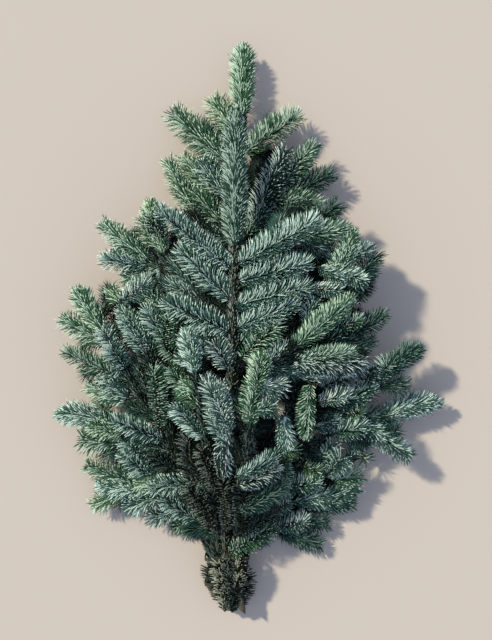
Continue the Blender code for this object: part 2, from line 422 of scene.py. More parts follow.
BOUGHS: tuple[Bough, ...] = (
    Bough("top_right", 14.5, 32, -328, 4.4, (-4, -179, 92), (17, -32, 119), 9, 62, 170, (
        Seen("KR7", (232, 424, 108), (252, 378, 117), Tone.GREEN, FLAT),
        Seen("KR8", (237, 418, 114), (279, 403, 119), Tone.TEAL, FLAT),
        Seen("KL6", (226, 425, 106), (205, 377, 114), Tone.SILVER, RAISED, old=0.4),
        Seen("KL6b", (224, 432, 104), (219, 380, 112), Tone.SILVER, RAISED, -0.08, old=0.4),
        Side(175, (-50, -105, 115), Tone.TEAL, FLAT, old=0.5),
        Seen("RL6", (233, 480, 80), (272, 462, 72), Tone.SHADE, FRINGED),
        Seen("RS1", (258, 372, 96), (290, 346, 98), Tone.TEAL, FLAT),
        Seen("RS2", (262, 385, 92), (286, 384, 104), Tone.SILVER, FLAT, 0.08),
        Seen("RM4", (294, 368, 98), (328, 376, 92), Tone.BLUE, FRINGED, old=0.4),
        Side(15, (150, -50, 85), Tone.FROST, HANGING, old=0.3),
        Side(20, (140, -35, 95), Tone.GREEN, FRINGED, old=0.4),
        Seen("RH1", (298, 345, 94), (354, 299, 92), Tone.GREEN, FRINGED, old=0.4),
        Seen("RL7", (240, 512, 40), (279, 488, 54), Tone.SHADE, FRINGED)),
        (Tone.GREEN, Tone.FRESH, Tone.TEAL), Sweep(-20, 0.5), Sweep(-30, 0.5)),
    Bough("top_left", -13, 31, -360, 4.4, (-53, -158, 86), (-80, 0, 110), -12, 66, 180, (
        Seen("LM10", (207, 440, 92), (173, 402, 88), Tone.BLUE, RIGHT_FRINGED),
        Seen("TL1", (200, 372, 98), (178, 352, 92), Tone.TEAL, FLAT),
        Seen("TL2", (205, 350, 100), (208, 322, 98), Tone.TEAL, FLAT, old=0.6),
        Seen("TL3", (214, 398, 98), (180, 384, 92), Tone.GREEN, FLAT),
        Seen("TL4", (219, 420, 92), (193, 424, 84), Tone.SHADE, FLAT),
        Seen("LL7", (190, 515, 32), (158, 495, 40), Tone.TEAL, LEFT_FRINGED, old=0.4),
        Seen("LF5", (195, 500, 34), (180, 488, 40), Tone.DEEP_SHADE, FLAT, old=0.5)),
        (Tone.BLUE, Tone.TEAL, Tone.GREEN), Sweep(-20, 0.5)),
    Bough("upper", 0, 31.6, -391, 5.6, (-21, -55, 94), (-17, 284, 92), 0, 186, 200, (
        Seen("KR1", (243, 262, 96), (317, 219, 98), Tone.BLUE, CURTAIN),
        Seen("KR2", (242, 279, 95), (309, 262, 93), Tone.BLUE, CURTAIN),
        Side(240, (90, 100, 60), Tone.DEEP_SHADE, FLAT, old=0.3),
        Seen("KR3", (243, 303, 95), (311, 286, 94), Tone.BLUE, CURTAIN),
        Seen("KR4", (244, 325, 95), (299, 303, 96), Tone.BLUE, CURTAIN),
        Seen("KR5", (243, 356, 92), (279, 320, 101), Tone.GREEN, LEFT_FRINGED, old=0.2),
        Seen("KL1", (228, 268, 96), (154, 207, 98), Tone.BLUE, CURTAIN),
        Seen("KL2", (228, 297, 96), (177, 248, 95), Tone.BLUE, CURTAIN),
        Seen("KL3", (228, 331, 96), (161, 302, 96), Tone.BLUE, CURTAIN),
        Seen("KL5", (228, 368, 92), (213, 340, 106), Tone.SILVER, RAISED, old=0.2),
        Seen("KX1", (243, 340, 88), (272, 318, 80), Tone.TEAL, FLAT, old=0.2),
        Seen("KX2", (228, 350, 88), (196, 330, 80), Tone.TEAL, FLAT),
        Seen("LO1", (195, 290, 70), (168, 256, 72), Tone.SHADE, FLAT, old=0.5),
        Seen("LO2", (205, 280, 66), (186, 250, 70), Tone.OLIVE, FLAT, old=0.5),
        Seen("LO3", (200, 300, 66), (170, 282, 72), Tone.TEAL, RAISED, old=0.5),
        Seen("RH5", (312, 236, 74), (350, 229, 79), Tone.GREEN, RAISED, old=0.6),
        Side(605, (38, -268, 35), Tone.GREEN, FRINGED)),
        (Tone.SEA, Tone.BLUE, Tone.TEAL), Sweep(0, 1.0), Sweep(0, 0.1, 0.6), needle=24.0, lean=20, slant=40,
        old_tone=Tone.OLIVE),
    Bough("left_high", -5.8, 20, -374, 4.9, (-74, -85, 55), (-130, 168, 75), -14, 80, 200, (
        Seen("L1", (152, 242, 78), (143, 208, 79), Tone.FRESH, FLAT, -0.16, old=0.2),
        Side(85, (-180, 105, 55), Tone.DEEP_SHADE, FLAT),
        Side(150, (-185, 30, 50), Tone.DEEP_SHADE, FLAT),
        Side(90, (-95, 125, 55), Tone.DEEP_SHADE, FLAT),
        Seen("L2", (168, 240, 80), (153, 213, 83), Tone.FROST, RAISED),
        Seen("L3", (140, 253, 74), (98, 220, 75), Tone.GREEN, FLAT, old=0.3),
        Seen("L4", (140, 264, 72), (98, 259, 72), Tone.BLUE, LOW_CURTAIN, old=0.3),
        Seen("L4b", (160, 270, 62), (120, 278, 62), Tone.GREEN, FLAT),
        Seen("LM4", (172, 360, 74), (167, 309, 86), Tone.GREEN, RIGHTWARD, -0.28),
        Seen("L9", (162, 332, 70), (145, 304, 82), Tone.BLUE, RAISED, old=0.6),
        Seen("L9b", (160, 310, 66), (138, 284, 74), Tone.GREEN, FLAT, old=0.4),
        Seen("LM9", (187, 396, 74), (168, 365, 84), Tone.GREEN, FLAT, old=0.3),
        Seen("LH1", (190, 345, 66), (190, 312, 70), Tone.TEAL, FLAT, old=0.3),
        Seen("LH2", (190, 370, 60), (182, 345, 66), Tone.DEEP_SHADE, FLAT),
        Seen("L7", (126, 308, 62), (109, 288, 66), Tone.FRESH, FLAT, old=0.6),
        Seen("L8", (138, 330, 66), (119, 304, 72), Tone.BLUE, RAISED, old=0.6),
        Seen("LL6", (212, 482, 40), (145, 489, 46), Tone.BLUE, FRINGED)),
        (Tone.FRESH, Tone.GREEN, Tone.TEAL), Sweep(-10, 0.4)),
    Bough("right_high", 6.0, 20.2, -352, 4.9, (53, -114, 60), (138, 129, 82), 18, 92, 300, (
        Side(90, (160, 105, 80), Tone.TEAL, LOW_CURTAIN, -0.24, old=0.2),
        Side(95, (100, 95, 50), Tone.DEEP_SHADE, FLAT),
        Side(120, (80, 70, 55), Tone.DEEP_SHADE, FLAT),
        Side(60, (90, 120, 60), Tone.TEAL, FLAT),
        Side(70, (135, 110, 65), Tone.DEEP_SHADE, FLAT),
        Seen("RH6", (350, 288, 64), (379, 252, 70), Tone.SHADE, RIGHTWARD, old=0.5),
        Seen("RH6b", (340, 296, 60), (372, 272, 64), Tone.SHADE, RIGHTWARD, old=0.2),
        Seen("RH7", (338, 296, 58), (370, 289, 56), Tone.SHADE, RIGHTWARD, old=0.2),
        Seen("RH1b", (322, 326, 78), (366, 319, 86), Tone.GREEN, FRINGED),
        Seen("RH1c", (312, 330, 78), (330, 305, 86), Tone.GREEN, FLAT),
        Seen("RH8", (306, 320, 74), (313, 293, 86), Tone.BLUE, FLAT, -0.08, old=0.6),
        Seen("RH9", (322, 342, 72), (343, 331, 80), Tone.TEAL, RAISED, old=0.3),
        Seen("RH10", (300, 310, 60), (318, 282, 66), Tone.DEEP_SHADE, FLAT, -0.2, old=0.5),
        Seen("RH11", (335, 345, 56), (365, 336, 58), Tone.SHADE, FLAT, old=0.4),
        Seen("RM1", (352, 334, 58), (387, 315, 62), Tone.SHADE, RAISED, old=0.5),
        Seen("RM1b", (350, 350, 54), (378, 340, 58), Tone.SHADE, RAISED, old=0.6),
        Seen("RM8", (345, 400, 58), (376, 385, 66), Tone.TEAL, RAISED, old=0.6),
        Seen("RM8b", (330, 385, 60), (356, 372, 68), Tone.TEAL, RAISED, old=0.5),
        Seen("RM9", (324, 400, 68), (353, 392, 78), Tone.SILVER, FRINGED, old=0.5),
        Seen("RM13", (320, 425, 54), (345, 420, 62), Tone.TEAL, FLAT, old=0.6),
        Seen("RL2c", (280, 452, 46), (300, 450, 54), Tone.FRESH, RAISED, old=0.3),
        Seen("RL0", (300, 440, 40), (318, 440, 46), Tone.DEEP_SHADE, FLAT, old=0.5)),
        (Tone.GREEN, Tone.TEAL, Tone.DEEP_SHADE), Sweep(10, 0.6)),
    Bough("left_mid", -17.3, 19.5, -371, 4.7, (-122, -134, 45), (-231, 52, 58), -33, 88, 220, (
        Seen("L6", (128, 296, 70), (154, 277, 80), Tone.SILVER, RAISED, old=0.5),
        Side(95, (-175, 15, 45), Tone.DEEP_SHADE, FLAT),
        Seen("LM1", (102, 340, 56), (60, 318, 54), Tone.GREEN, FLAT),
        Seen("LM2", (108, 372, 50), (61, 350, 48), Tone.GREEN, LOW_FRINGED, old=0.3),
        Seen("LM3", (125, 350, 58), (101, 323, 66), Tone.SILVER, RAISED),
        Seen("LM3b", (134, 364, 58), (108, 343, 66), Tone.BLUE, RAISED),
        Seen("LM3c", (145, 345, 60), (128, 318, 70), Tone.BLUE, RAISED, 0.12, old=0.6),
        Seen("LM3d", (155, 368, 58), (143, 336, 70), Tone.DEEP_SHADE, FLAT, 0.08, old=0.6),
        Seen("LM7", (142, 366, 58), (110, 370, 62), Tone.BLUE, RAISED),
        Seen("LM8", (152, 430, 56), (153, 364, 70), Tone.GREEN, LEFT_FRINGED),
        Seen("LM8b", (170, 420, 50), (160, 380, 58), Tone.DEEP_SHADE, FLAT, old=0.5),
        Seen("LM11", (118, 398, 42), (84, 384, 42), Tone.GREEN, FLAT, old=0.4),
        Seen("LM11b", (125, 395, 46), (100, 375, 50), Tone.TEAL, FLAT, old=0.5),
        Seen("LM13", (155, 437, 48), (108, 420, 58), Tone.BLUE, LOW_FRINGED),
        Seen("LL10", (192, 485, 60), (187, 433, 76), Tone.OLIVE, FLAT),
        Seen("LG1", (170, 455, 40), (165, 415, 46), Tone.DEEP_SHADE, FLAT),
        Seen("LG2", (175, 470, 36), (150, 452, 44), Tone.DEEP_SHADE, FLAT, old=0.3),
        Seen("LG3", (145, 400, 44), (126, 385, 46), Tone.OLIVE, FLAT),
        Seen("LM14", (112, 431, 32), (86, 425, 38), Tone.FRESH, RAISED, old=0.6),
        Seen("LL6b", (165, 480, 34), (132, 486, 40), Tone.FRESH, FLAT, old=0.4),
        Seen("LF4", (200, 508, 28), (178, 520, 26), Tone.OLIVE, RAISED)),
        (Tone.GREEN, Tone.GREEN, Tone.BLUE), Sweep(-20, 0.4)),
    Bough("right_mid", 17.3, 19.5, -367, 4.7, (93, -160, 45), (231, -27, 58), 50, 84, 230, (
        Seen("RM5", (374, 395, 58), (389, 360, 68), Tone.TEAL, RIGHT_FRINGED),
        Seen("RM5b", (360, 392, 58), (372, 362, 64), Tone.TEAL, RAISED, old=0.2),
        Seen("RM6", (372, 386, 50), (411, 383, 50), Tone.SHADE, FLAT),
        Seen("RM10", (330, 418, 62), (367, 413, 70), Tone.FRESH, FRINGED),
        Seen("RM11", (312, 440, 56), (365, 427, 66), Tone.BLUE, FRINGED),
        Seen("RM12", (366, 424, 46), (413, 458, 50), Tone.TEAL, FLAT, old=0.2),
        Seen("RM7b", (350, 412, 34), (392, 420, 34), Tone.SHADE, FLAT),
        Seen("RL3", (280, 488, 40), (322, 482, 52), Tone.BLUE, FRINGED),
        Seen("RL2b", (292, 460, 44), (323, 474, 52), Tone.FRESH, RAISED),
        Seen("RF2", (262, 505, 24), (285, 507, 26), Tone.DEEP_SHADE, FLAT)),
        (Tone.SHADE, Tone.TEAL, Tone.GREEN), Sweep(10, 0.3), Sweep(0, 0.4, 0.2), -0.08),
    Bough("left_low", -12.4, 7.9, -377, 4.6, (-134, -193, 24), (-262, -118, 32), -73, 120, 190, (
        Seen("LM12b", (105, 415, 30), (100, 398, 36), Tone.GREEN, RAISED, old=0.5),
        Side(100, (-230, -155, 35), Tone.GREEN, FLAT),
        Seen("LL1b", (125, 452, 28), (98, 455, 26), Tone.SHADE, FLAT),
        Side(230, (-225, -190, 25), Tone.GREEN, FLAT, old=0.5),
        Side(255, (-170, -170, 45), Tone.BLUE, RIGHTWARD, old=0.6),
        Side(160, (-165, -155, 45), Tone.BLUE, RAISED, old=0.2),
        Side(190, (-135, -155, 30), Tone.DEEP_SHADE, FLAT, old=0.3)),
        (Tone.BLUE, Tone.GREEN, Tone.TEAL), Sweep(-20, 0.3), Sweep(-10, 0.3, 0.2), 0.16, needle=25.0),
    Bough("right_low", 13.4, 7.9, -352, 4.5, (105, -208, 21), (264, -100, 29), 59, 150, 220, (
        Seen("RL1", (325, 478, 30), (345, 455, 70), Tone.BLUE, FLAT),
        Seen("RL1b", (345, 440, 36), (371, 464, 34), Tone.TEAL, RIGHTWARD),
        Seen("RL1c", (318, 465, 36), (335, 440, 52), Tone.BLUE, FLAT, old=0.5),
        Seen("RL1d", (340, 480, 24), (362, 474, 28), Tone.GREEN, FLAT, old=0.5),
        Side(280, (45, -180, 60), Tone.GREEN, RIGHTWARD, old=0.2),
        Side(265, (115, -230, 35), Tone.BLUE, FLAT, old=0.3),
        Seen("RL5", (325, 500, 22), (357, 488, 26), Tone.TEAL, FLAT, old=0.6)),
        (Tone.BLUE, Tone.TEAL, Tone.DEEP_SHADE), Sweep(10, 0.3), Sweep(0, 0.2, 0.3), -0.16, needle=26.0),
    Bough("main", 0, 9.5, -393, 6.8, (-18, 17, 21), (-7, 384, 27), 1, 104, 108, (
        Seen("T1b", (235, 133, 26), (210, 97, 27), Tone.FRESH, FLAT),
        Seen("T2", (243, 155, 27), (301, 116, 28), Tone.GREEN, LOW_CURTAIN),
        Side(180, (-105, 290, 25), Tone.GREEN, FLAT, old=0.2),
        Side(295, (50, 235, 60), Tone.FROST, FLAT, old=0.3),
        Seen("T3b", (295, 170, 34), (316, 144, 36), Tone.GREEN, RIGHTWARD, old=0.6),
        Seen("T3c", (300, 188, 30), (332, 172, 30), Tone.SHADE, RAISED, old=0.5),
        Seen("T3d", (285, 190, 30), (305, 160, 30), Tone.DEEP_SHADE, FLAT, old=0.6),
        Seen("T4a", (185, 195, 34), (169, 157, 30), Tone.GREEN, FLAT, old=0.6),
        Seen("T4b", (205, 185, 34), (181, 154, 33), Tone.FRESH, FLAT, old=0.5),
        Seen("T4c", (222, 190, 40), (200, 160, 38), Tone.BLUE, FLAT, old=0.4),
        Seen("T4d", (215, 215, 40), (192, 190, 38), Tone.GREEN, FLAT, old=0.4),
        Seen("T5", (250, 232, 44), (268, 203, 48), Tone.TEAL, FLAT, old=0.4),
        Seen("T6", (285, 215, 46), (310, 198, 48), Tone.SHADE, FLAT, old=0.6),
        Seen("T6b", (275, 200, 30), (320, 205, 40), Tone.GREEN, RAISED, old=0.4),
        Side(325, (120, 160, 60), Tone.SHADE, RIGHTWARD, old=0.6),
        Seen("T8", (215, 235, 40), (170, 215, 34), Tone.DEEP_SHADE, FLAT, old=0.3),
        Side(215, (30, 230, 20), Tone.DEEP_SHADE, FLAT),
        Side(290, (-100, 105, 30), Tone.DEEP_SHADE, FLAT),
        Side(270, (-100, 125, 40), Tone.TEAL, FLAT),
        Seen("RF1", (250, 545, 12), (268, 535, 14), Tone.DEEP_SHADE, FALLING, old=0.5)),
        (Tone.GREEN, Tone.TEAL, Tone.DEEP_SHADE), Sweep(0, 0.3), Sweep(0, 0.05, 0.5), needle=27.0, lean=4.2),
    Bough("left_foot", -22.4, 7.9, -366, 4.4, (-114, -240, 20), (-212, -218, 24), -87, 76, 130, (
        Seen("LL4", (118, 496, 22), (92, 507, 20), Tone.FRESH, FLAT, old=0.3),
        Seen("LL8", (160, 500, 24), (122, 509, 22), Tone.BLUE, RAISED),
        Side(130, (-140, -265, 20), Tone.TEAL, RAISED),
        Side(150, (-105, -280, 20), Tone.GREEN, RAISED),
        Seen("LF3", (212, 525, 22), (190, 538, 14), Tone.OLIVE, FALLING)),
        (Tone.BLUE, Tone.GREEN, Tone.TEAL), Sweep(10, 0.5)),
    Bough("right_foot", 23.2, 7.9, -362, 4.2, (52, -266, 16), (148, -238, 20), 78, 60, 124, (
        Seen("RL8", (272, 515, 34), (295, 496, 46), Tone.SILVER, FRINGED, -0.08, old=0.4),
        Seen("RL9", (272, 527, 26), (310, 520, 36), Tone.SILVER, FRINGED),
        Seen("RL11", (298, 518, 18), (333, 524, 16), Tone.SHADE, FLAT),
        Side(125, (105, -305, 15), Tone.SHADE, FLAT, old=0.2)),
        (Tone.SHADE, Tone.TEAL, Tone.GREEN), Sweep(10, 0.4)),
)


@dataclass(frozen=True)
class Hollow:
    """A place on the pile where it is open and dark: small shoots keep below its depth there and take near-black
    needles as painted shade.
    """

    across: float
    along: float
    radius: float
    depth: float

    def holds(self, point: np.ndarray) -> bool:
        """Whether a point lies over it."""
        return math.hypot(point[0] - self.across * MM, point[1] - self.along * MM) < self.radius * MM


HOLLOWS: tuple[Hollow, ...] = (
    Hollow(18, 145, 26, 30), Hollow(-35, 80, 16, 50), Hollow(-52, 45, 20, 45), Hollow(8, 22, 15, 60),
    Hollow(3, -14, 15, 55), Hollow(16, -60, 14, 60), Hollow(64, 2, 17, 50), Hollow(92, -18, 22, 45),
    Hollow(104, 38, 18, 45), Hollow(66, -75, 14, 50), Hollow(98, -90, 15, 40), Hollow(18, -145, 26, 45),
    Hollow(58, -182, 14, 25), Hollow(68, -228, 16, 14), Hollow(-52, -140, 16, 45), Hollow(-98, -135, 34, 30),
    Hollow(-75, -15, 14, 45), Hollow(-14, -215, 30, 20),
)


@dataclass(frozen=True)
class Stray:
    """A shoot loose on the pile or standing at the cut ends: where it starts and ends, and its looks."""

    root: tuple[float, float, float]
    tip: tuple[float, float, float]
    tone: Tone
    sweep: Sweep


STRAYS: tuple[Stray, ...] = (
    Stray((-28, -130, 105), (-30, -188, 90), Tone.FROST, FLAT),
    Stray((0, -120, 100), (0, -172, 90), Tone.DEEP_SHADE, FLAT),
    Stray((-30, -270, 70), (-34, -205, 85), Tone.OLIVE, LEFT_FRINGED),
    Stray((-48, -270, 60), (-76, -215, 75), Tone.OLIVE, RAISED),
    Stray((-10, -275, 65), (-8, -205, 80), Tone.DEEP_SHADE, RAISED),
    Stray((-44, -215, 80), (-60, -165, 90), Tone.OLIVE, RAISED),
    Stray((-18, -196, 95), (32, -172, 85), Tone.TEAL, FRINGED),
    Stray((-16, -208, 90), (34, -188, 80), Tone.FROST, HANGING),
    Stray((-14, -244, 80), (42, -215, 65), Tone.SHADE, HANGING),
    Stray((-18, -278, 60), (34, -250, 50), Tone.DEEP_SHADE, FRINGED),
    Stray((45, -115, 95), (50, -155, 90), Tone.BLUE, FLAT),
    Stray((80, -75, 95), (75, -138, 85), Tone.GREEN, RIGHT_FRINGED),
)
PERCHED: tuple[Stray, ...] = (
    Stray((90, 75, 85), (120, 60, 90), Tone.BLUE, RAISED),
    Stray((105, 80, 80), (145, 58, 90), Tone.BLUE, RAISED),
    Stray((80, 50, 80), (114, 44, 90), Tone.SILVER, RAISED),
)
FOOT_SHOOTS: tuple[Stray, ...] = (
    Stray((-40, -380, 15), (-54, -335, 20), Tone.DEEP_SHADE, FLAT),
    Stray((-14, -388, 10), (-2, -345, 20), Tone.DEEP_SHADE, FLAT),
    Stray((-16, -380, 20), (-6, -334, 30), Tone.DRY, FLAT),
    Stray((-32, -390, 25), (-36, -345, 40), Tone.DRY, FLAT),
    Stray((-22, -390, 30), (-24, -348, 40), Tone.DEEP_SHADE, FLAT),
    Stray((-36, -362, 35), (-40, -322, 45), Tone.DRY, FLAT),
    Stray((-28, -362, 40), (-28, -318, 50), Tone.OLIVE, FLAT),
    Stray((-18, -360, 40), (-14, -320, 45), Tone.DRY, FLAT),
)


# ---------------------------------------------------------------- lines and shoots


def unit(vectors: np.ndarray) -> np.ndarray:
    """The vectors at length one."""
    return vectors / np.maximum(np.linalg.norm(vectors, axis=-1, keepdims=True), 1e-12)


def heading_vector(degrees: float) -> np.ndarray:
    """The level direction this many degrees right of the bunch's tip."""
    angle = math.radians(degrees)
    return np.array([math.sin(angle), math.cos(angle), 0.0])


class Line:
    """A smooth line of points, read by the distance along it."""

    def __init__(self, points: np.ndarray) -> None:
        """Keep the points and how far along each one is."""
        self.points = points
        self.reach = np.r_[0.0, np.cumsum(np.linalg.norm(np.diff(points, axis=0), axis=1))]
        self.length = float(self.reach[-1])

    def at(self, distance: Union[float, np.ndarray]) -> np.ndarray:
        """The point or points this far along."""
        return np.stack([np.interp(distance, self.reach, self.points[:, axis]) for axis in range(3)], axis=-1)

    def direction(self, distance: Union[float, np.ndarray]) -> np.ndarray:
        """The direction of the line there."""
        step = self.length / 60
        ahead = self.at(np.minimum(np.asarray(distance) + step, self.length))
        behind = self.at(np.maximum(np.asarray(distance) - step, 0.0))
        return unit(ahead - behind)

    @classmethod
    def bezier(cls, start: np.ndarray, middle: np.ndarray, end: np.ndarray, count: int = 14) -> "Line":
        """The quadratic curve from start to end that is drawn towards middle."""
        share = np.linspace(0, 1, count)[:, None]
        return cls((1 - share) ** 2 * start + 2 * share * (1 - share) * middle + share ** 2 * end)

    @classmethod
    def through(cls, knots: Sequence[np.ndarray], first: np.ndarray, last: np.ndarray,
                count: int = 60) -> "Line":
        """A smooth line through knots that starts along first and ends along last."""
        spans = [float(np.linalg.norm(b - a)) for a, b in zip(knots, knots[1:])]
        slopes = [(b - a) / span for a, b, span in zip(knots, knots[1:], spans)]
        leave = [first]
        for i in range(1, len(knots) - 1):
            leave.append((slopes[i - 1] * spans[i] + slopes[i] * spans[i - 1]) / (spans[i - 1] + spans[i]))
        leave.append(last)
        pieces = []
        for i, span in enumerate(spans):
            s = np.linspace(0, 1, count, endpoint=i == len(spans) - 1)[:, None]
            pieces.append(knots[i] * (2 * s ** 3 - 3 * s ** 2 + 1) + leave[i] * span * (s ** 3 - 2 * s ** 2 + s)
                          + knots[i + 1] * (3 * s ** 2 - 2 * s ** 3) + leave[i + 1] * span * (s ** 3 - s ** 2))
        return cls(np.concatenate(pieces))


class Habit(Enum):
    """How the needles stand on a shoot."""

    LEADER = "leader"
    SIDE = "side"
    OLD = "old"


@dataclass(frozen=True)
class NeedleHabit:
    """The needles of one habit: how many a centimetre and in how many rows, how long, and how they lean.

    length is a share of the bough's needle length, and spread is how far round from the sweep the rows
    reach. leave and stand are the angles to the shoot at a needle's root and middle, tip_stand is stand at
    the shoot's tip, and lift is how much the needle's end bends to the sweep. taper is how much shorter
    needles are at the shoot's tip, and scatter how far they stray from their rows.
    """

    per_cm: float
    rows: int
    length: float
    spread: float
    leave: float
    stand: float
    tip_stand: float
    lift: float
    taper: float
    scatter: float


NEEDLE_HABITS: dict[Habit, NeedleHabit] = {
    Habit.LEADER: NeedleHabit(54.0, 18, 1.05, 125.0, 26.0, 54.0, 24.0, 0.25, 0.42, 3.0),
    Habit.SIDE: NeedleHabit(38.0, 12, 1.0, 114.0, 38.0, 66.0, 40.0, 0.60, 0.14, 4.0),
    Habit.OLD: NeedleHabit(36.0, 12, 0.56, 172.0, 20.0, 36.0, 36.0, 0.10, 0.0, 16.0),
}


@dataclass
class Shoot:
    """One shoot: its line, its thickness at root and tip, what its needles sweep towards, and its looks."""

    line: Line
    root_radius: float
    tip_radius: float
    up: np.ndarray
    tone: Tone
    habit: Habit
    needle: float
    parted: float = 0.5
    bare: float = 0.0
    twig: bool = True
    plain: bool = False


@dataclass(frozen=True)
class Placing:
    """Where a seen side shoot leaves its stem: the place from which it runs most nearly as seen."""

    shift: np.ndarray

    MIDDLE_COLUMN = 246.0
    MIDDLE_ROW = 320.0
    MIDDLE_X = -3.3
    MIDDLE_Y = 6.0
    EYE_HEIGHT = 1300.0
    SCALE_LEVEL = 50.0
    PIXEL = 1.3333
    STEP = 5.0
    FIRST_BACK = 15.0
    LAST_BACK = 75.0
    TRIAL = 2.0
    WIDEST_FORK = 68.0
    NARROWEST_FORK = 15.0
    WIDEST_ELBOW = 75.0
    LEAST_REACH = 14.0
    LEAST_ELBOW = 16.0
    LONGER_COST = 0.15
    SHORTER_COST = 0.3
    WIDE_COST = 0.5
    NARROW_COST = 0.3
    CLIMB_COST = 25.0
    ELBOW_COST = 14.0
    ELBOW_TURN_COST = 0.45
    ELBOW_REACH_COST = 0.25
    ELBOW_CLIMB_COST = 12.0
    SHORTEST_CLIMB = 20.0

    def spot(self, seen: tuple[float, float, float]) -> np.ndarray:
        """The place, in millimetres, of a column and row of the view at a height."""
        column, row, height = seen
        pixel = self.PIXEL * (self.EYE_HEIGHT - height) / (self.EYE_HEIGHT - self.SCALE_LEVEL)
        return np.array([self.MIDDLE_X + (column - self.MIDDLE_COLUMN) * pixel,
                         self.MIDDLE_Y + (self.MIDDLE_ROW - row) * pixel, height])

    def stepped(self, value: float) -> int:
        """A length to the nearest step."""
        return int(round(float(value) / self.STEP) * self.STEP)

    @staticmethod
    def turn(one: np.ndarray, other: np.ndarray) -> float:
        """How many degrees lie between two directions seen from above."""
        between = math.degrees(math.atan2(one[0], one[1]) - math.atan2(other[0], other[1]))
        return abs((between + 180) % 360 - 180)

    def straight_cost(self, root: np.ndarray, forward: np.ndarray, start: np.ndarray, end: np.ndarray) -> float:
        """How badly a shoot that runs straight from its root to its end would fit.

        Args:
            root: Where it would leave the stem.
            forward: The stem's direction there.
            start: Where it comes into view.
            end: Where it ends.

        Returns:
            The cost, infinite for a shoot that is too short.
        """
        whole, shown = end - root, end - start
        reach, length = np.linalg.norm(whole[:2]), np.linalg.norm(shown[:2])
        if reach <= self.LEAST_REACH:
            return math.inf
        fork = self.turn(whole, forward)
        return (self.turn(whole, shown) + self.LONGER_COST * max(0, reach - length)
                + self.WIDE_COST * max(0, fork - self.WIDEST_FORK)
                + self.NARROW_COST * max(0, self.NARROWEST_FORK - fork)
                + abs(root[2] - end[2]) / reach * self.CLIMB_COST
                + self.SHORTER_COST * max(0, length - reach))

    def elbow_cost(self, root: np.ndarray, forward: np.ndarray, start: np.ndarray, end: np.ndarray) -> float:
        """How badly a shoot would fit that runs hidden to where it comes into view, and turns there.

        Args:
            root: Where it would leave the stem.
            forward: The stem's direction there.
            start: Where it comes into view.
            end: Where it ends.

        Returns:
            The cost, infinite where the hidden part is too short.
        """
        hidden = start - root
        reach = np.linalg.norm(hidden[:2])
        if reach <= self.LEAST_ELBOW:
            return math.inf
        fork = self.turn(hidden, forward)
        return (self.ELBOW_COST + self.turn(hidden, end - start) * self.ELBOW_TURN_COST
                + reach * self.ELBOW_REACH_COST + self.WIDE_COST * max(0, fork - self.WIDEST_ELBOW)
                + abs(root[2] - start[2]) / max(reach, self.SHORTEST_CLIMB) * self.ELBOW_CLIMB_COST)

    def side(self, seen: Seen, stem: Line) -> Side:
        """The side shoot that a seen one is.

        Args:
            seen: The shoot as seen.
            stem: The line of the stem that bears it.

        Returns:
            The side shoot, its places to the nearest step.
        """
        start, end = self.spot(seen.start), self.spot(seen.end)
        lowest, chosen = math.inf, self.FIRST_BACK
        for back in np.arange(self.FIRST_BACK, stem.length * 1000 - self.LAST_BACK, self.TRIAL):
            at = stem.length - back / 1000
            root, forward = (stem.at(at) - self.shift) * 1000, stem.direction(at)
            cost = min(self.straight_cost(root, forward, start, end),
                       self.elbow_cost(root, forward, start, end))
            if cost < lowest:
                lowest, chosen = cost, back
        tip = (self.stepped(end[0]), self.stepped(end[1]), self.stepped(seen.end[2]))
        return Side(self.stepped(chosen), tip, seen.tone, seen.sweep, seen.bow, seen.old)


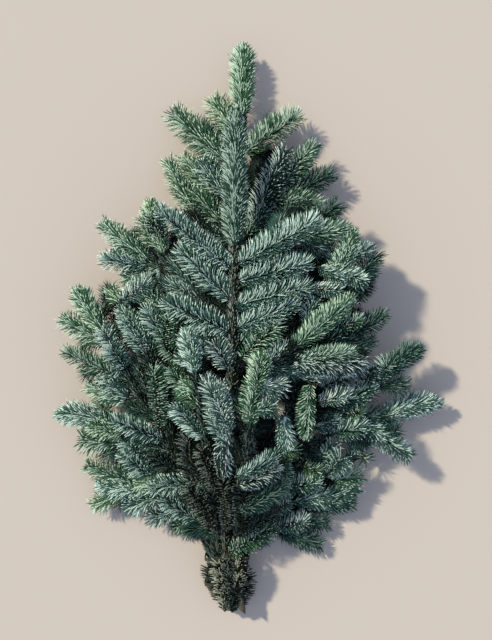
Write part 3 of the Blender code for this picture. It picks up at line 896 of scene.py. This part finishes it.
@dataclass
class Growth:
    """The seeded rule by which boughs put out shoots; every bough has its own generator."""

    seed: int
    shift: np.ndarray
    rng: np.random.Generator = field(init=False)

    PAIR_SPACING = 54 * MM
    TIP_SETBACK = 12 * MM
    LOOSE_NEEDLE = 18 * MM
    LEAST_BEARER = 48 * MM
    HALF_WIDTH = 250 * MM
    HALF_LENGTH = 390 * MM
    RIM = 0.85

    def stem_line(self, bough: Bough) -> Line:
        """The middle line of a bough's stem, from its cut end to its tip."""
        neck = np.array([NECK_X + bough.across, NECK_Y, bough.level]) * MM
        cut_end = np.array([NECK_X + bough.across + bough.lean, bough.cut, bough.level]) * MM
        knots = [cut_end, neck, np.array(bough.bend) * MM, np.array(bough.tip) * MM]
        line = Line.through([knot + self.shift for knot in knots], TOWARDS_TIP, heading_vector(bough.heading))
        return line

    def swept(self, sweep: Sweep) -> np.ndarray:
        """The direction that needles sweep towards, with a little chance in it."""
        return unit(sweep.vector() + self.rng.normal(0, 0.10, 3))

    def branch(self, root: np.ndarray, end: np.ndarray, bow: float) -> Line:
        """A gently curved shoot.

        Args:
            root: Where it leaves.
            end: Where it ends.
            bow: How far its middle bows to the right, as a share of its length.

        Returns:
            Its line, kept off the floor.
        """
        reach = end - root
        length = float(np.linalg.norm(reach))
        middle = (root + end) / 2 + np.array([reach[1], -reach[0], 0.04 * length]) * [bow * 2, bow * 2, 1]
        line = Line.bezier(root, middle, end)
        line.points[:, 2] = np.maximum(line.points[:, 2], 6 * MM)
        return line

    def side_shoots(self, bough: Bough, stem: Line) -> Iterator[Shoot]:
        """The listed side shoots of a bough, and the smaller ones that grow on them.

        Args:
            bough: The bough.
            stem: Its stem's line.

        Yields:
            Each shoot, followed by the smaller ones on it.
        """
        placing = Placing(self.shift)
        for listed in bough.sides:
            side = placing.side(listed, stem) if isinstance(listed, Seen) else listed
            root = stem.at(stem.length - side.back * MM)
            end = np.array(side.tip) * MM + self.shift + UP * self.rng.uniform(-2, 2) * MM
            line = self.branch(root, end - unit(end - root) * self.TIP_SETBACK, side.bow)
            root_radius = min(1.2 * MM + line.length * 0.009, 2.6 * MM)
            bare = max(4 * MM, line.length * side.old)
            yield Shoot(line, root_radius, 0.9 * MM, self.swept(side.sweep), side.tone, Habit.SIDE,
                        bough.needle * MM, side.sweep.parted, bare)
            if side.old:
                inner = Line(line.at(np.linspace(0, bare, 12)))
                yield Shoot(inner, root_radius, root_radius * 0.8, self.swept(FLAT), Tone.DEEP_SHADE, Habit.OLD,
                            bough.needle * MM, twig=False, plain=True)
            yield from self.undergrowth(bough, line)

    def undergrowth(self, bough: Bough, bearer: Line) -> Iterator[Shoot]:
        """Small shoots, mostly near-black as painted shade, that leave a side shoot on both sides and dip into the
        pile.
        """
        if bearer.length < self.LEAST_BEARER:
            return
        hand = self.rng.choice((-1, 1))
        for share in np.arange(0.12, 0.62, 34 * MM / bearer.length):
            at = bearer.length * (share + self.rng.uniform(-0.03, 0.03))
            root, forward = bearer.at(at), bearer.direction(at)
            reach = (bearer.length - at) * self.rng.uniform(0.5, 0.75)
            yield self.small_shoot(bough, root, forward, hand * self.rng.uniform(24, 42), min(reach, 50 * MM),
                                   -self.rng.uniform(0.15, 0.4))
            hand = -hand

    def small_shoot(self, bough: Bough, root: np.ndarray, forward: np.ndarray, turn: float, reach: float,
                    climb: float) -> Shoot:
        """A small shoot, mostly near-black as painted shade.

        Args:
            bough: The bough it belongs to.
            root: Where it leaves.
            forward: The direction of what bears it.
            turn: How many degrees it turns from that, to the right.
            reach: How long it is.
            climb: How much it climbs, as a share of that.

        Returns:
            The shoot.
        """
        heading = math.degrees(math.atan2(forward[0], forward[1])) + turn
        end = root + heading_vector(heading) * reach + UP * reach * climb
        # Two in three small shoots take the near-black tone: painted shade of the pile's inside.
        tone = (Tone.DEEP_SHADE, Tone.DEEP_SHADE, bough.tones[-1])[self.rng.integers(3)]
        if abs(end[0]) / self.HALF_WIDTH + abs(end[1]) / self.HALF_LENGTH > self.RIM:
            tone = Tone.SHADE
            end = root + (end - root) * 0.75
        # Small shoots over a hollow take the near-black tone: painted shade.
        for hollow in HOLLOWS:
            if hollow.holds(end - self.shift) or hollow.holds((root + end) / 2 - self.shift):
                tone = Tone.DEEP_SHADE
                end[2] = min(end[2], hollow.depth * MM)
        return Shoot(self.branch(root, end, 0.03), 1.5 * MM, 0.9 * MM, self.swept(FLAT), tone, Habit.SIDE,
                     min(bough.needle, 23.0) * MM, 0.2, plain=True)

    def fillers(self, bough: Bough, stem: Line) -> Iterator[Shoot]:
        """Pairs of short shoots, mostly near-black as painted shade, along the inner stem, between the listed
        ones.
        """
        for distance in np.arange(100 * MM, stem.length - (bough.leader + 40) * MM, self.PAIR_SPACING):
            for side in (-1, 1):
                at = distance + self.rng.uniform(-8, 8) * MM
                reach = min(self.rng.uniform(30, 55) * MM, (stem.length - at) * 0.25)
                yield self.small_shoot(bough, stem.at(at), stem.direction(at), side * self.rng.uniform(34, 62),
                                       reach, self.rng.uniform(-0.3, 0.1))

    def bough_shoots(self, bough: Bough) -> list[Shoot]:
        """Every shoot of one bough, its stem's own needles first."""
        self.rng = np.random.default_rng((self.seed, BOUGHS.index(bough)))
        stem = self.stem_line(bough)
        leader_start = stem.length - bough.leader * MM
        inner = Line(stem.at(np.linspace(6 * MM, leader_start, 60)))
        leader = self.branch(stem.at(leader_start), stem.at(stem.length - self.TIP_SETBACK), bough.leader_bow)
        needle = bough.needle * MM
        shoots = [
            Shoot(inner, bough.radius * MM * 0.9, 2.2 * MM, self.swept(FLAT), bough.old_tone, Habit.OLD, needle,
                  twig=False),
            Shoot(leader, 2.2 * MM, 1.0 * MM, self.swept(bough.leader_sweep), bough.tones[0], Habit.LEADER, needle,
                  bough.leader_sweep.parted),
        ]
        shoots.extend(self.side_shoots(bough, stem))
        shoots.extend(self.fillers(bough, stem))
        return shoots

    def stray_shoots(self, strays: Sequence[Stray]) -> list[Shoot]:
        """The loose shoots of a list."""
        self.rng = np.random.default_rng((self.seed, len(BOUGHS), len(strays)))
        made = []
        for stray in strays:
            root, end = (np.array(point) * MM + self.shift for point in (stray.root, stray.tip))
            line = self.branch(root, end, 0.03)
            made.append(Shoot(line, 1.5 * MM, 0.9 * MM, self.swept(stray.sweep), stray.tone, Habit.SIDE,
                              self.LOOSE_NEEDLE, stray.sweep.parted))
        return made


# ---------------------------------------------------------------- needles and twigs


class JoinedMesh:
    """Many small closed things gathered as arrays and made into one mesh object."""

    def __init__(self, name: str) -> None:
        """Start with nothing gathered."""
        self.name = name
        self.vertices: list[np.ndarray] = []
        self.triangles: list[np.ndarray] = []
        self.slots: list[np.ndarray] = []
        self.count = 0

    def add(self, vertices: np.ndarray, triangles: np.ndarray, slots: np.ndarray) -> None:
        """Gather these vertices, the triangles that join them and each triangle's material slot."""
        self.vertices.append(vertices)
        self.triangles.append(triangles + self.count)
        self.slots.append(slots)
        self.count += len(vertices)

    @property
    def triangle_count(self) -> int:
        """How many triangles are gathered."""
        return sum(len(block) for block in self.triangles)

    def build(self, materials: Sequence[bpy.types.Material]) -> bpy.types.Object:
        """Make the object.

        Args:
            materials: Its material slots.

        Returns:
            The object, at the origin.
        """
        vertices = np.concatenate(self.vertices).astype(np.float32)
        triangles = np.concatenate(self.triangles).astype(np.int32)
        mesh = bpy.data.meshes.new(self.name)
        mesh.vertices.add(len(vertices))
        mesh.vertices.foreach_set("co", vertices.ravel())
        mesh.loops.add(triangles.size)
        mesh.loops.foreach_set("vertex_index", triangles.ravel())
        mesh.polygons.add(len(triangles))
        mesh.polygons.foreach_set("loop_start", np.arange(0, triangles.size, 3, dtype=np.int32))
        mesh.polygons.foreach_set("material_index", np.concatenate(self.slots).astype(np.int32))
        mesh.update(calc_edges=True)
        for material in materials:
            mesh.materials.append(material)
        made = bpy.data.objects.new(self.name, mesh)
        bpy.context.scene.collection.objects.link(made)
        return made


@dataclass
class NeedleMaker:
    """Makes the needles of shoots: bent, three-sided and blunt, each one dark, plain or bright by chance.

    The roots are painted shade. Dark needles hide their pale band, partly as painted shade, and bright ones turn a
    second side and the end pale, partly as a painted highlight.
    """

    rng: np.random.Generator

    ROW_STEP = 5
    WIDTH = 1.1 * MM
    THICKNESS = 1.1 * MM
    FLOOR_CLEARANCE = 0.4 * MM
    TURNED_SHARE = 0.12
    BRIGHT_SHARE = 0.5
    DARK_SHARE = 0.22
    ROOT_TAPER = 20 * MM

    def template(self, rings: int) -> tuple[np.ndarray, np.ndarray]:
        """The triangles of one needle: a root, rings of three corners and a tip.

        Args:
            rings: How many rings.

        Returns:
            The triangles, and each one's part: 0 for the needle's dark side, 1 for its pale underside, 2 for its
            root, which takes the near-black deep tone as painted shade, and 3 for its other side, which is pale on
            a bright needle, partly as a painted highlight.
        """
        faces: list[tuple[int, int, int]] = []
        parts: list[int] = []
        last = 3 * rings - 2
        for k in range(3):
            following = (k + 1) % 3
            faces.append((0, 1 + following, 1 + k))
            parts.append(2)
            for ring in range(1, last, 3):
                faces.append((ring + k, ring + following, ring + 3 + following))
                faces.append((ring + k, ring + 3 + following, ring + 3 + k))
                parts += [(1, 3, 0)[k]] * 2
            faces.append((last + k, last + following, last + 3))
            parts.append(1 if k == 0 else 3 if rings > 1 else 0)
        return np.array(faces), np.array(parts)

    def stand_on(self, shoot: Shoot, tones: Sequence[Tone], target: JoinedMesh) -> int:
        """Set needles all along a shoot.

        Args:
            shoot: The shoot.
            tones: The tones in the order of the target's slots, two slots each.
            target: Where the needles are gathered.

        Returns:
            How many needles were set.
        """
        habit = NEEDLE_HABITS[shoot.habit]
        rng = self.rng
        length = shoot.line.length
        count = max(int((length - shoot.bare) / MM / 10 * habit.per_cm), habit.rows * 2)
        order = np.arange(count)
        row = order * self.ROW_STEP % habit.rows
        along = (shoot.bare
                 + (order + rng.normal(0, 0.35, count)).clip(0, count) / count * (length - shoot.bare))
        share = along / length
        axis = shoot.line.direction(along)
        up = unit(shoot.up - np.sum(axis * shoot.up, axis=1, keepdims=True) * axis)
        across = np.cross(axis, up)
        turn = (np.radians(habit.spread) * ((row + 0.5) / habit.rows * 2 - 1)
                + np.radians(rng.normal(0, habit.scatter, count)))
        outward = up * np.cos(turn)[:, None] + across * np.sin(turn)[:, None]
        radius = shoot.root_radius + (shoot.tip_radius - shoot.root_radius) * share
        near_tip = np.clip((share - 0.78) / 0.22, 0, 1) if shoot.habit is not Habit.OLD else np.zeros(count)
        lying = 1 - shoot.parted * np.cos(turn).clip(0, 1)
        leave = np.radians(habit.leave * (1 - 0.5 * near_tip) + rng.normal(0, 2, count))
        stand = habit.stand * lying + (habit.tip_stand - habit.stand * lying) * near_tip ** 1.5
        stand = np.radians(stand + rng.normal(0, 4) + rng.normal(0, 3, count)
                           - near_tip ** 3 * rng.uniform(0, 24, count))
        near_root = np.clip(1 - (along - shoot.bare) / self.ROOT_TAPER, 0, 1)
        grown = 1 - habit.taper * near_tip - 0.4 * near_root
        size = (habit.length * shoot.needle * grown * rng.normal(1, 0.06)
                * rng.normal(1, 0.07, count).clip(0.7, 1.25))
        size *= 0.6 + 0.4 * lying
        first = unit(axis * np.cos(leave)[:, None] + outward * np.sin(leave)[:, None])
        middle = unit(axis * np.cos(stand)[:, None] + outward * np.sin(stand)[:, None])
        last = unit(middle + up * habit.lift * (0.35 + np.abs(np.sin(turn)))[:, None]
                    + rng.normal(0, 0.04, (count, 3)))
        self.gather(shoot, tones, target, shoot.line.at(along) + outward * (radius * 0.7)[:, None],
                    (first, middle, last), size, axis, up, outward)
        return count

    def gather(self, shoot: Shoot, tones: Sequence[Tone], target: JoinedMesh, root: np.ndarray,
               directions: tuple[np.ndarray, np.ndarray, np.ndarray], size: np.ndarray, axis: np.ndarray,
               up: np.ndarray, outward: np.ndarray) -> None:
        """Work out the needles' vertices from their roots and directions, and gather them.

        Args:
            shoot: The shoot they stand on.
            tones: The tones in the order of the target's slots.
            target: Where they are gathered.
            root: Each needle's root.
            directions: Its direction at the root, in the middle and at the end.
            size: Its length.
            axis: The shoot's direction at it.
            up: What it sweeps towards.
            outward: The direction in which it leaves the shoot's middle.
        """
        count = len(root)
        first, middle, last = directions
        s = size[:, None]
        if shoot.plain:
            rings = [root + first * s * 0.45]
            tip = rings[0] + middle * s * 0.55
        else:
            rings = [root + first * s * 0.28, root + first * s * 0.28 + middle * s * 0.50]
            tip = rings[1] + last * s * 0.22
        sideways = 1 - np.sum(outward * up, axis=1, keepdims=True) ** 2
        inward = (axis * 0.4 + up * 0.7 - outward * (0.2 + 0.8 * sideways)
                  + self.rng.normal(0, 0.10, (count, 3)))
        turned_over = np.where(self.rng.random((count, 1)) < self.TURNED_SHARE, -1.0, 1.0)
        across = unit(np.cross(inward * turned_over, middle))
        over = np.cross(middle, across)
        corners = 3 * len(rings) + 2
        block = np.empty((count, corners, 3))
        block[:, 0] = root
        block[:, -1] = tip
        width = self.WIDTH * self.rng.normal(0.92, 0.08, (count, 1)).clip(0.75, 1.1)
        for ring, centre in enumerate(rings):
            half = across * width / 2
            low = over * self.THICKNESS * 0.31
            block[:, 1 + ring * 3] = centre - half - low
            block[:, 2 + ring * 3] = centre + half - low
            block[:, 3 + ring * 3] = centre + over * self.THICKNESS * 0.6
        block[:, :, 2] = np.maximum(block[:, :, 2], self.FLOOR_CLEARANCE)
        faces, parts = self.template(len(rings))
        triangles = (faces[None] + np.arange(count)[:, None, None] * corners).reshape(-1, 3)
        # Every needle's root faces take the near-black deep tone: painted shade.
        own, painted_root_shade = tones.index(shoot.tone) * 2, tones.index(Tone.DEEP_SHADE) * 2
        pale = own + 1
        looks = np.array([(own, own, painted_root_shade, own), (own, pale, painted_root_shade, own), (own, pale, painted_root_shade, pale)])
        # Dealt by chance: dark needles hide their pale band, partly as painted shade; bright ones are pale on a
        # second side and the end, partly as a painted highlight.
        lot = self.rng.random(count)
        slots = looks[(lot > self.DARK_SHARE).astype(int) + (lot > 1 - self.BRIGHT_SHARE)][:, parts]
        target.add(block.reshape(-1, 3), triangles, slots.ravel())


@dataclass
class TwigMaker:
    """Makes the wood of shoots: a tapering tube with a bud on its end."""

    SIDES = 6
    RINGS = 7
    BUD_LENGTH = 4.2 * MM
    BUD_RADIUS = 1.7 * MM

    def grow(self, shoot: Shoot, target: JoinedMesh) -> None:
        """Gather a shoot's wood and its bud."""
        stations = np.linspace(0, shoot.line.length, self.RINGS)
        centres = shoot.line.at(stations)
        axes = shoot.line.direction(stations)
        radii = np.linspace(shoot.root_radius, shoot.tip_radius, self.RINGS)
        tip, axis = centres[-1], axes[-1]
        self.tube(centres, axes, radii, 0, target)
        shares = np.array([-0.25, 0.15, 0.5, 0.8])
        bud_radii = self.BUD_RADIUS * np.array([0.55, 1.0, 0.95, 0.5])
        bud_centres = tip + axis * (shares * self.BUD_LENGTH)[:, None]
        self.tube(bud_centres, np.repeat(axis[None], len(shares), axis=0), bud_radii, 1, target)

    def tube(self, centres: np.ndarray, axes: np.ndarray, radii: np.ndarray, slot: int,
             target: JoinedMesh) -> None:
        """Gather a closed tube over these centres, its ends drawn to poles."""
        across = unit(np.cross(axes, UP + np.array([0.01, 0.02, 0.0])))
        up = np.cross(across, axes)
        turns = np.arange(self.SIDES) / self.SIDES * math.tau
        rings = (centres[:, None] + across[:, None] * (np.cos(turns)[None, :, None] * radii[:, None, None])
                 + up[:, None] * (np.sin(turns)[None, :, None] * radii[:, None, None]))
        poles = np.stack([centres[0] - axes[0] * radii[0] * 0.5, centres[-1] + axes[-1] * radii[-1]])
        vertices = np.concatenate([rings.reshape(-1, 3), poles])
        triangles = []
        last = len(centres) - 1
        start_pole, end_pole = len(vertices) - 2, len(vertices) - 1
        for k in range(self.SIDES):
            following = (k + 1) % self.SIDES
            for ring in range(last):
                a, b = ring * self.SIDES + k, ring * self.SIDES + following
                triangles += [(a, b + self.SIDES, b), (a, a + self.SIDES, b + self.SIDES)]
            triangles.append((start_pole, k, following))
            triangles.append((end_pole, last * self.SIDES + following, last * self.SIDES + k))
        target.add(vertices, np.array(triangles), np.full(len(triangles), slot))


@dataclass
class Foliage:
    """The needles and twigs of a group of boughs, as joined pieces that replace the group's masses."""

    name: str
    boughs: tuple[str, ...]

    def masses(self) -> list[str]:
        """The nodes that this group's needles stand for."""
        return [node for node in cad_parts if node.endswith("_needles")
                and any(node.startswith(bough + "_") for bough in self.boughs)]


FOLIAGE_GROUPS: tuple[Foliage, ...] = (
    Foliage("needles_top", ("top_left", "top_right")),
    Foliage("needles_upper", ("upper",)),
    Foliage("needles_left_high", ("left_high",)),
    Foliage("needles_left_mid", ("left_mid",)),
    Foliage("needles_left_low", ("left_low", "left_foot")),
    Foliage("needles_right_high", ("right_high",)),
    Foliage("needles_right_mid", ("right_mid",)),
    Foliage("needles_right_low", ("right_low", "right_foot")),
    Foliage("needles_main", ("main",)),
    Foliage("needles_foot", ("foot",)),
)


# ---------------------------------------------------------------- stems and ties


def deselect() -> None:
    """Leave edit mode's selection and every object deselected."""
    bpy.ops.object.select_all(action="DESELECT")


def apply_all(piece: bpy.types.Object) -> None:
    """Apply a piece's modifiers in order, and its transform."""
    deselect()
    piece.select_set(True)
    bpy.context.view_layer.objects.active = piece
    for modifier in list(piece.modifiers):
        bpy.ops.object.modifier_apply(modifier=modifier.name)
    bpy.ops.object.transform_apply(location=True, rotation=True, scale=True)


def guide_curve(name: str, points: np.ndarray, radii: np.ndarray) -> bpy.types.Object:
    """A curve through points, whose radius scales what is bent along it.

    Args:
        name: The curve's name.
        points: Its points.
        radii: The scale at each point.

    Returns:
        The curve object.
    """
    bpy.ops.curve.primitive_nurbs_path_add(location=(0, 0, 0))
    guide = bpy.context.object
    guide.name = name
    curve = guide.data
    curve.dimensions = "3D"
    curve.splines.clear()
    spline = curve.splines.new("POLY")
    spline.points.add(len(points) - 1)
    for place, point, radius in zip(spline.points, points, radii):
        place.co = (*point, 1.0)
        place.radius = radius
    curve.use_radius = True
    curve.use_stretch = False
    return guide


def bent_rod(name: str, points: np.ndarray, radius: float, radii: np.ndarray, sides: int, cuts: int
             ) -> bpy.types.Object:
    """A round rod bent along points.

    Args:
        name: The rod's name.
        points: The line it follows.
        radius: Its radius where radii is 1.
        radii: The scale of its radius at each point.
        sides: How many sides it has.
        cuts: How many times it is cut across.

    Returns:
        The rod, with its modifiers applied.
    """
    line = Line(points)
    deselect()
    bpy.ops.mesh.primitive_cylinder_add(vertices=sides, radius=radius, depth=line.length,
                                        location=(line.length / 2, 0, 0), rotation=(0, math.pi / 2, 0))
    rod = bpy.context.object
    rod.name = name
    rod.data.name = name
    bpy.ops.object.transform_apply(location=True, rotation=True, scale=True)
    bpy.ops.object.mode_set(mode="EDIT")
    bpy.ops.mesh.select_mode(type="EDGE")
    bpy.ops.mesh.select_all(action="DESELECT")
    bpy.ops.object.mode_set(mode="OBJECT")
    for edge in rod.data.edges:
        a, b = (rod.data.vertices[i].co for i in edge.vertices)
        edge.select = abs(a.x - b.x) > line.length / 2
    bpy.ops.object.mode_set(mode="EDIT")
    bpy.ops.mesh.subdivide(number_cuts=cuts)
    bpy.ops.object.mode_set(mode="OBJECT")
    guide = guide_curve(name + "_guide", points, radii)
    bend = rod.modifiers.new("bend", "CURVE")
    bend.object = guide
    bend.deform_axis = "POS_X"
    apply_all(rod)
    bpy.data.objects.remove(guide, do_unlink=True)
    return rod


@dataclass
class BarkStem:
    """One stem with its bark's relief, cut across at the foot."""

    bough: Bough
    line: Line
    bark: bpy.types.Material
    wood: bpy.types.Material

    SIDES = 16
    RING_SPACING = 4 * MM
    TIP_RADIUS = 1.2 * MM
    OVERLAP = 30 * MM
    RELIEF = 0.9 * MM
    BARK_THICKNESS = 0.7 * MM

    def build(self) -> bpy.types.Object:
        """Make and dress the stem."""
        length = self.line.length - self.bough.cad_leader * MM + self.OVERLAP
        points = self.line.at(np.linspace(0, length, 60))
        share = np.linspace(0, 1, 60)
        radius = self.bough.radius * MM
        radii = (radius * (1 - share) ** 0.8 + self.TIP_RADIUS * share) / radius
        cuts = int(length / self.RING_SPACING)
        stem = bent_rod(self.bough.name + "_bark", points, radius - 0.2 * MM, radii, self.SIDES, cuts)
        self.roughen(stem)
        self.saw_end(stem)
        bpy.ops.object.shade_smooth_by_angle(angle=math.radians(50))
        return stem

    def roughen(self, stem: bpy.types.Object) -> None:
        """Raise the bark's ridges."""
        relief = bpy.data.textures.new(stem.name + "_relief", "CLOUDS")
        relief.noise_scale = 0.007
        relief.noise_depth = 3
        displace = stem.modifiers.new("relief", "DISPLACE")
        displace.texture = relief
        displace.texture_coords = "LOCAL"
        displace.strength = self.RELIEF
        displace.mid_level = 0.5
        apply_all(stem)

    def saw_end(self, stem: bpy.types.Object) -> None:
        """Cut the foot across, slanting where the bough's is, with a rim of bark round pale wood."""
        start = self.line.at(0.0)
        slant = math.radians(self.bough.slant)
        normal = (math.sin(slant), math.cos(slant), 0.0)
        radius = self.bough.radius * MM
        level = start + np.array([0.0, radius * math.sin(slant) + 0.4 * MM, 0.0])
        bpy.ops.object.mode_set(mode="EDIT")
        bpy.ops.mesh.select_all(action="SELECT")
        bpy.ops.mesh.bisect(plane_co=tuple(level), plane_no=normal, use_fill=True, clear_inner=True)
        bpy.ops.object.mode_set(mode="OBJECT")
        stem.data.materials.append(self.bark)
        stem.data.materials.append(self.wood)
        caps = [face for face in stem.data.polygons
                if face.normal.dot(Vector(normal)) < -0.98 and (face.center - Vector(level)).length < radius * 2]
        for face in stem.data.polygons:
            face.select = False
        for face in caps:
            face.select = True
        bpy.ops.object.mode_set(mode="EDIT")
        bpy.ops.mesh.select_mode(type="FACE")
        bpy.ops.mesh.inset(thickness=self.BARK_THICKNESS, depth=-0.15 * MM)
        bpy.ops.object.mode_set(mode="OBJECT")
        for face in stem.data.polygons:
            if face.select:
                face.material_index = 1


@dataclass
class CordTie:
    """Turns of thin cord pulled tight round the stems, with both ends left over at the top."""

    node: str
    cord: bpy.types.Material
    turns: int = 3

    RADIUS = 0.75 * MM
    SIDES = 8
    CORNER_STEPS = 7

    def loop_points(self) -> np.ndarray:
        """The cord's line: a rounded oblong wound several times, a cord's width further on each turn."""
        low, high = (np.array(corner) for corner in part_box(self.node))
        middle = (low + high) / 2
        half = (high - low) / 2 - self.RADIUS * 1.2
        corner = 9 * MM
        points = []
        steps = self.turns * 4 * self.CORNER_STEPS
        for k in range(steps + 1):
            quarter = (k // self.CORNER_STEPS) % 4
            share = (k % self.CORNER_STEPS) / (self.CORNER_STEPS - 1)
            turn = math.pi / 2 * (quarter + share) + math.pi / 2
            turned = math.pi / 2 * (quarter + 0.5) + math.pi / 2
            centre_x = (half[0] - corner) * (1 if math.cos(turned) > 0 else -1)
            centre_z = (half[2] - corner) * (1 if math.sin(turned) > 0 else -1)
            advance = (k / steps - 0.5) * self.turns * self.RADIUS * 2.3
            points.append((middle[0] + centre_x + corner * math.cos(turn), middle[1] + advance,
                           middle[2] + centre_z + corner * math.sin(turn)))
        return np.array(points)

    def build(self) -> bpy.types.Object:
        """Make and dress the cord."""
        points = self.loop_points()
        piece = bent_rod(self.node + "_cord", points, self.RADIUS, np.ones(len(points)), self.SIDES, 260)
        piece.data.materials.append(self.cord)
        bpy.ops.object.shade_smooth_by_angle(angle=math.radians(60))
        return piece


# ---------------------------------------------------------------- the studio


@dataclass
class Studio:
    """A plain pale floor, a soft key light, a soft fill, and a camera that looks straight down."""

    middle: tuple[float, float] = (-3.9 * MM, 6.0 * MM)
    distance: float = 1.3
    frame_height: float = 0.8875
    floor_side: float = 6.0
    key_heading: tuple[float, float] = (0.81, -0.58)
    key_elevation: float = 42.0
    key_strength: float = 4.6
    key_colour: tuple[float, float, float] = (1.0, 0.88, 0.69)
    key_size: float = 4.0
    fill_colour: tuple[float, float, float] = (0.561, 0.628, 0.828)

    def build(self) -> None:
        """Make the floor, the lights and the camera."""
        self.lay_floor()
        self.set_lights()
        self.set_camera()

    def lay_floor(self) -> None:
        """The floor, far wider than the view."""
        deselect()
        bpy.ops.mesh.primitive_plane_add(size=self.floor_side, location=(0, 0, -0.0005))
        floor = bpy.context.object
        floor.name = "floor"
        bpy.ops.object.transform_apply(location=True, rotation=True, scale=True)
        floor.data.materials.append(FLOOR_FINISH.material())

    def set_lights(self) -> None:
        """A sun from the upper left, and a pale sky all round."""
        key = bpy.data.lights.new("key", "SUN")
        key.energy = self.key_strength
        key.color = self.key_colour
        key.angle = math.radians(self.key_size)
        lamp = bpy.data.objects.new("key", key)
        level = Vector((*self.key_heading, 0.0)).normalized()
        fall = -math.tan(math.radians(self.key_elevation))
        lamp.rotation_euler = Vector((level.x, level.y, fall)).to_track_quat("-Z", "Y").to_euler()
        bpy.context.scene.collection.objects.link(lamp)
        world = bpy.data.worlds.new("sky")
        world.use_nodes = True
        world.node_tree.nodes["Background"].inputs["Color"].default_value = (*self.fill_colour, 1.0)
        world.node_tree.nodes["Background"].inputs["Strength"].default_value = 1.0
        bpy.context.scene.world = world

    def set_camera(self) -> None:
        """The camera, straight above."""
        data = bpy.data.cameras.new("camera")
        data.sensor_fit = "VERTICAL"
        data.angle_y = 2 * math.atan(self.frame_height / 2 / self.distance)
        camera = bpy.data.objects.new("camera", data)
        camera.location = (*self.middle, self.distance)
        bpy.context.scene.collection.objects.link(camera)
        bpy.context.scene.camera = camera
        bpy.context.scene.view_settings.view_transform = "Standard"


# ---------------------------------------------------------------- the bunch


class Bunch:
    """The whole bunch of boughs."""

    def __init__(self) -> None:
        """Find where the tables' origin lies in the frame."""
        low, high = (np.array(corner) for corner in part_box("tie_upper"))
        middle = (low + high) / 2
        self.shift = np.array([middle[0] - NECK_X * MM, middle[1] - NECK_Y * MM, 0.0])
        self.growth = Growth(SEED, self.shift)
        self.needles = NeedleMaker(np.random.default_rng(SEED + 1))
        self.tones = list(NEEDLE_FINISHES)

    def shoots_of(self, group: Foliage) -> list[Shoot]:
        """Every shoot of a group of boughs, with the loose ones that lie on it."""
        if group.boughs == ("foot",):
            return self.growth.stray_shoots(FOOT_SHOOTS)
        shoots = [shoot for bough in BOUGHS if bough.name in group.boughs
                  for shoot in self.growth.bough_shoots(bough)]
        if "top_right" in group.boughs:
            shoots += self.growth.stray_shoots(STRAYS)
        if "right_high" in group.boughs:
            shoots += self.growth.stray_shoots(PERCHED)
        return shoots

    def dress_foliage(self) -> None:
        """Make every group's needles, and the twigs that carry them."""
        materials = [made for tone, finish in NEEDLE_FINISHES.items() for made in finish.materials(tone)]
        twigs = JoinedMesh("twigs")
        maker = TwigMaker()
        total = 0
        for group in FOLIAGE_GROUPS:
            gathered = JoinedMesh(group.name)
            count = 0
            for shoot in self.shoots_of(group):
                count += self.needles.stand_on(shoot, self.tones, gathered)
                if shoot.twig:
                    maker.grow(shoot, twigs)
            piece = gathered.build(materials)
            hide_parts(*group.masses())
            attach(piece, "root")
            total += gathered.triangle_count
            LOG.info("%s: %d needles, %d triangles", group.name, count, gathered.triangle_count)
        wood = twigs.build([TWIG_BARK_AND_SHADE_FINISH.material(), BUD_FINISH.material()])
        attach(wood, "root")
        LOG.info("twigs: %d triangles; needles in all: %d triangles", twigs.triangle_count, total)

    def dress_stems(self) -> None:
        """Make every stem's bark."""
        bark, wood = BarkAndShadeFinish().material(), CutWoodFinish().material()
        for bough in BOUGHS:
            stem = BarkStem(bough, self.growth.stem_line(bough), bark, wood).build()
            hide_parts(bough.name + "_stem")
            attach(stem, "root")
            LOG.info("%s: %d faces", stem.name, len(stem.data.polygons))

    def dress_ties(self) -> None:
        """Make both ties."""
        cord = CordFinish().material()
        for node in ("tie_upper", "tie_lower"):
            piece = CordTie(node, cord).build()
            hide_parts(node)
            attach(piece, "root")
            LOG.info("%s: %d faces", piece.name, len(piece.data.polygons))


def main() -> None:
    """Build the bunch piece by piece, then the studio round it."""
    logging.basicConfig(level=logging.INFO, format="%(name)s %(message)s")
    bunch = Bunch()
    bunch.dress_stems()
    bunch.dress_ties()
    bunch.dress_foliage()
    Studio().build()


if __name__ == "__main__":
    main()
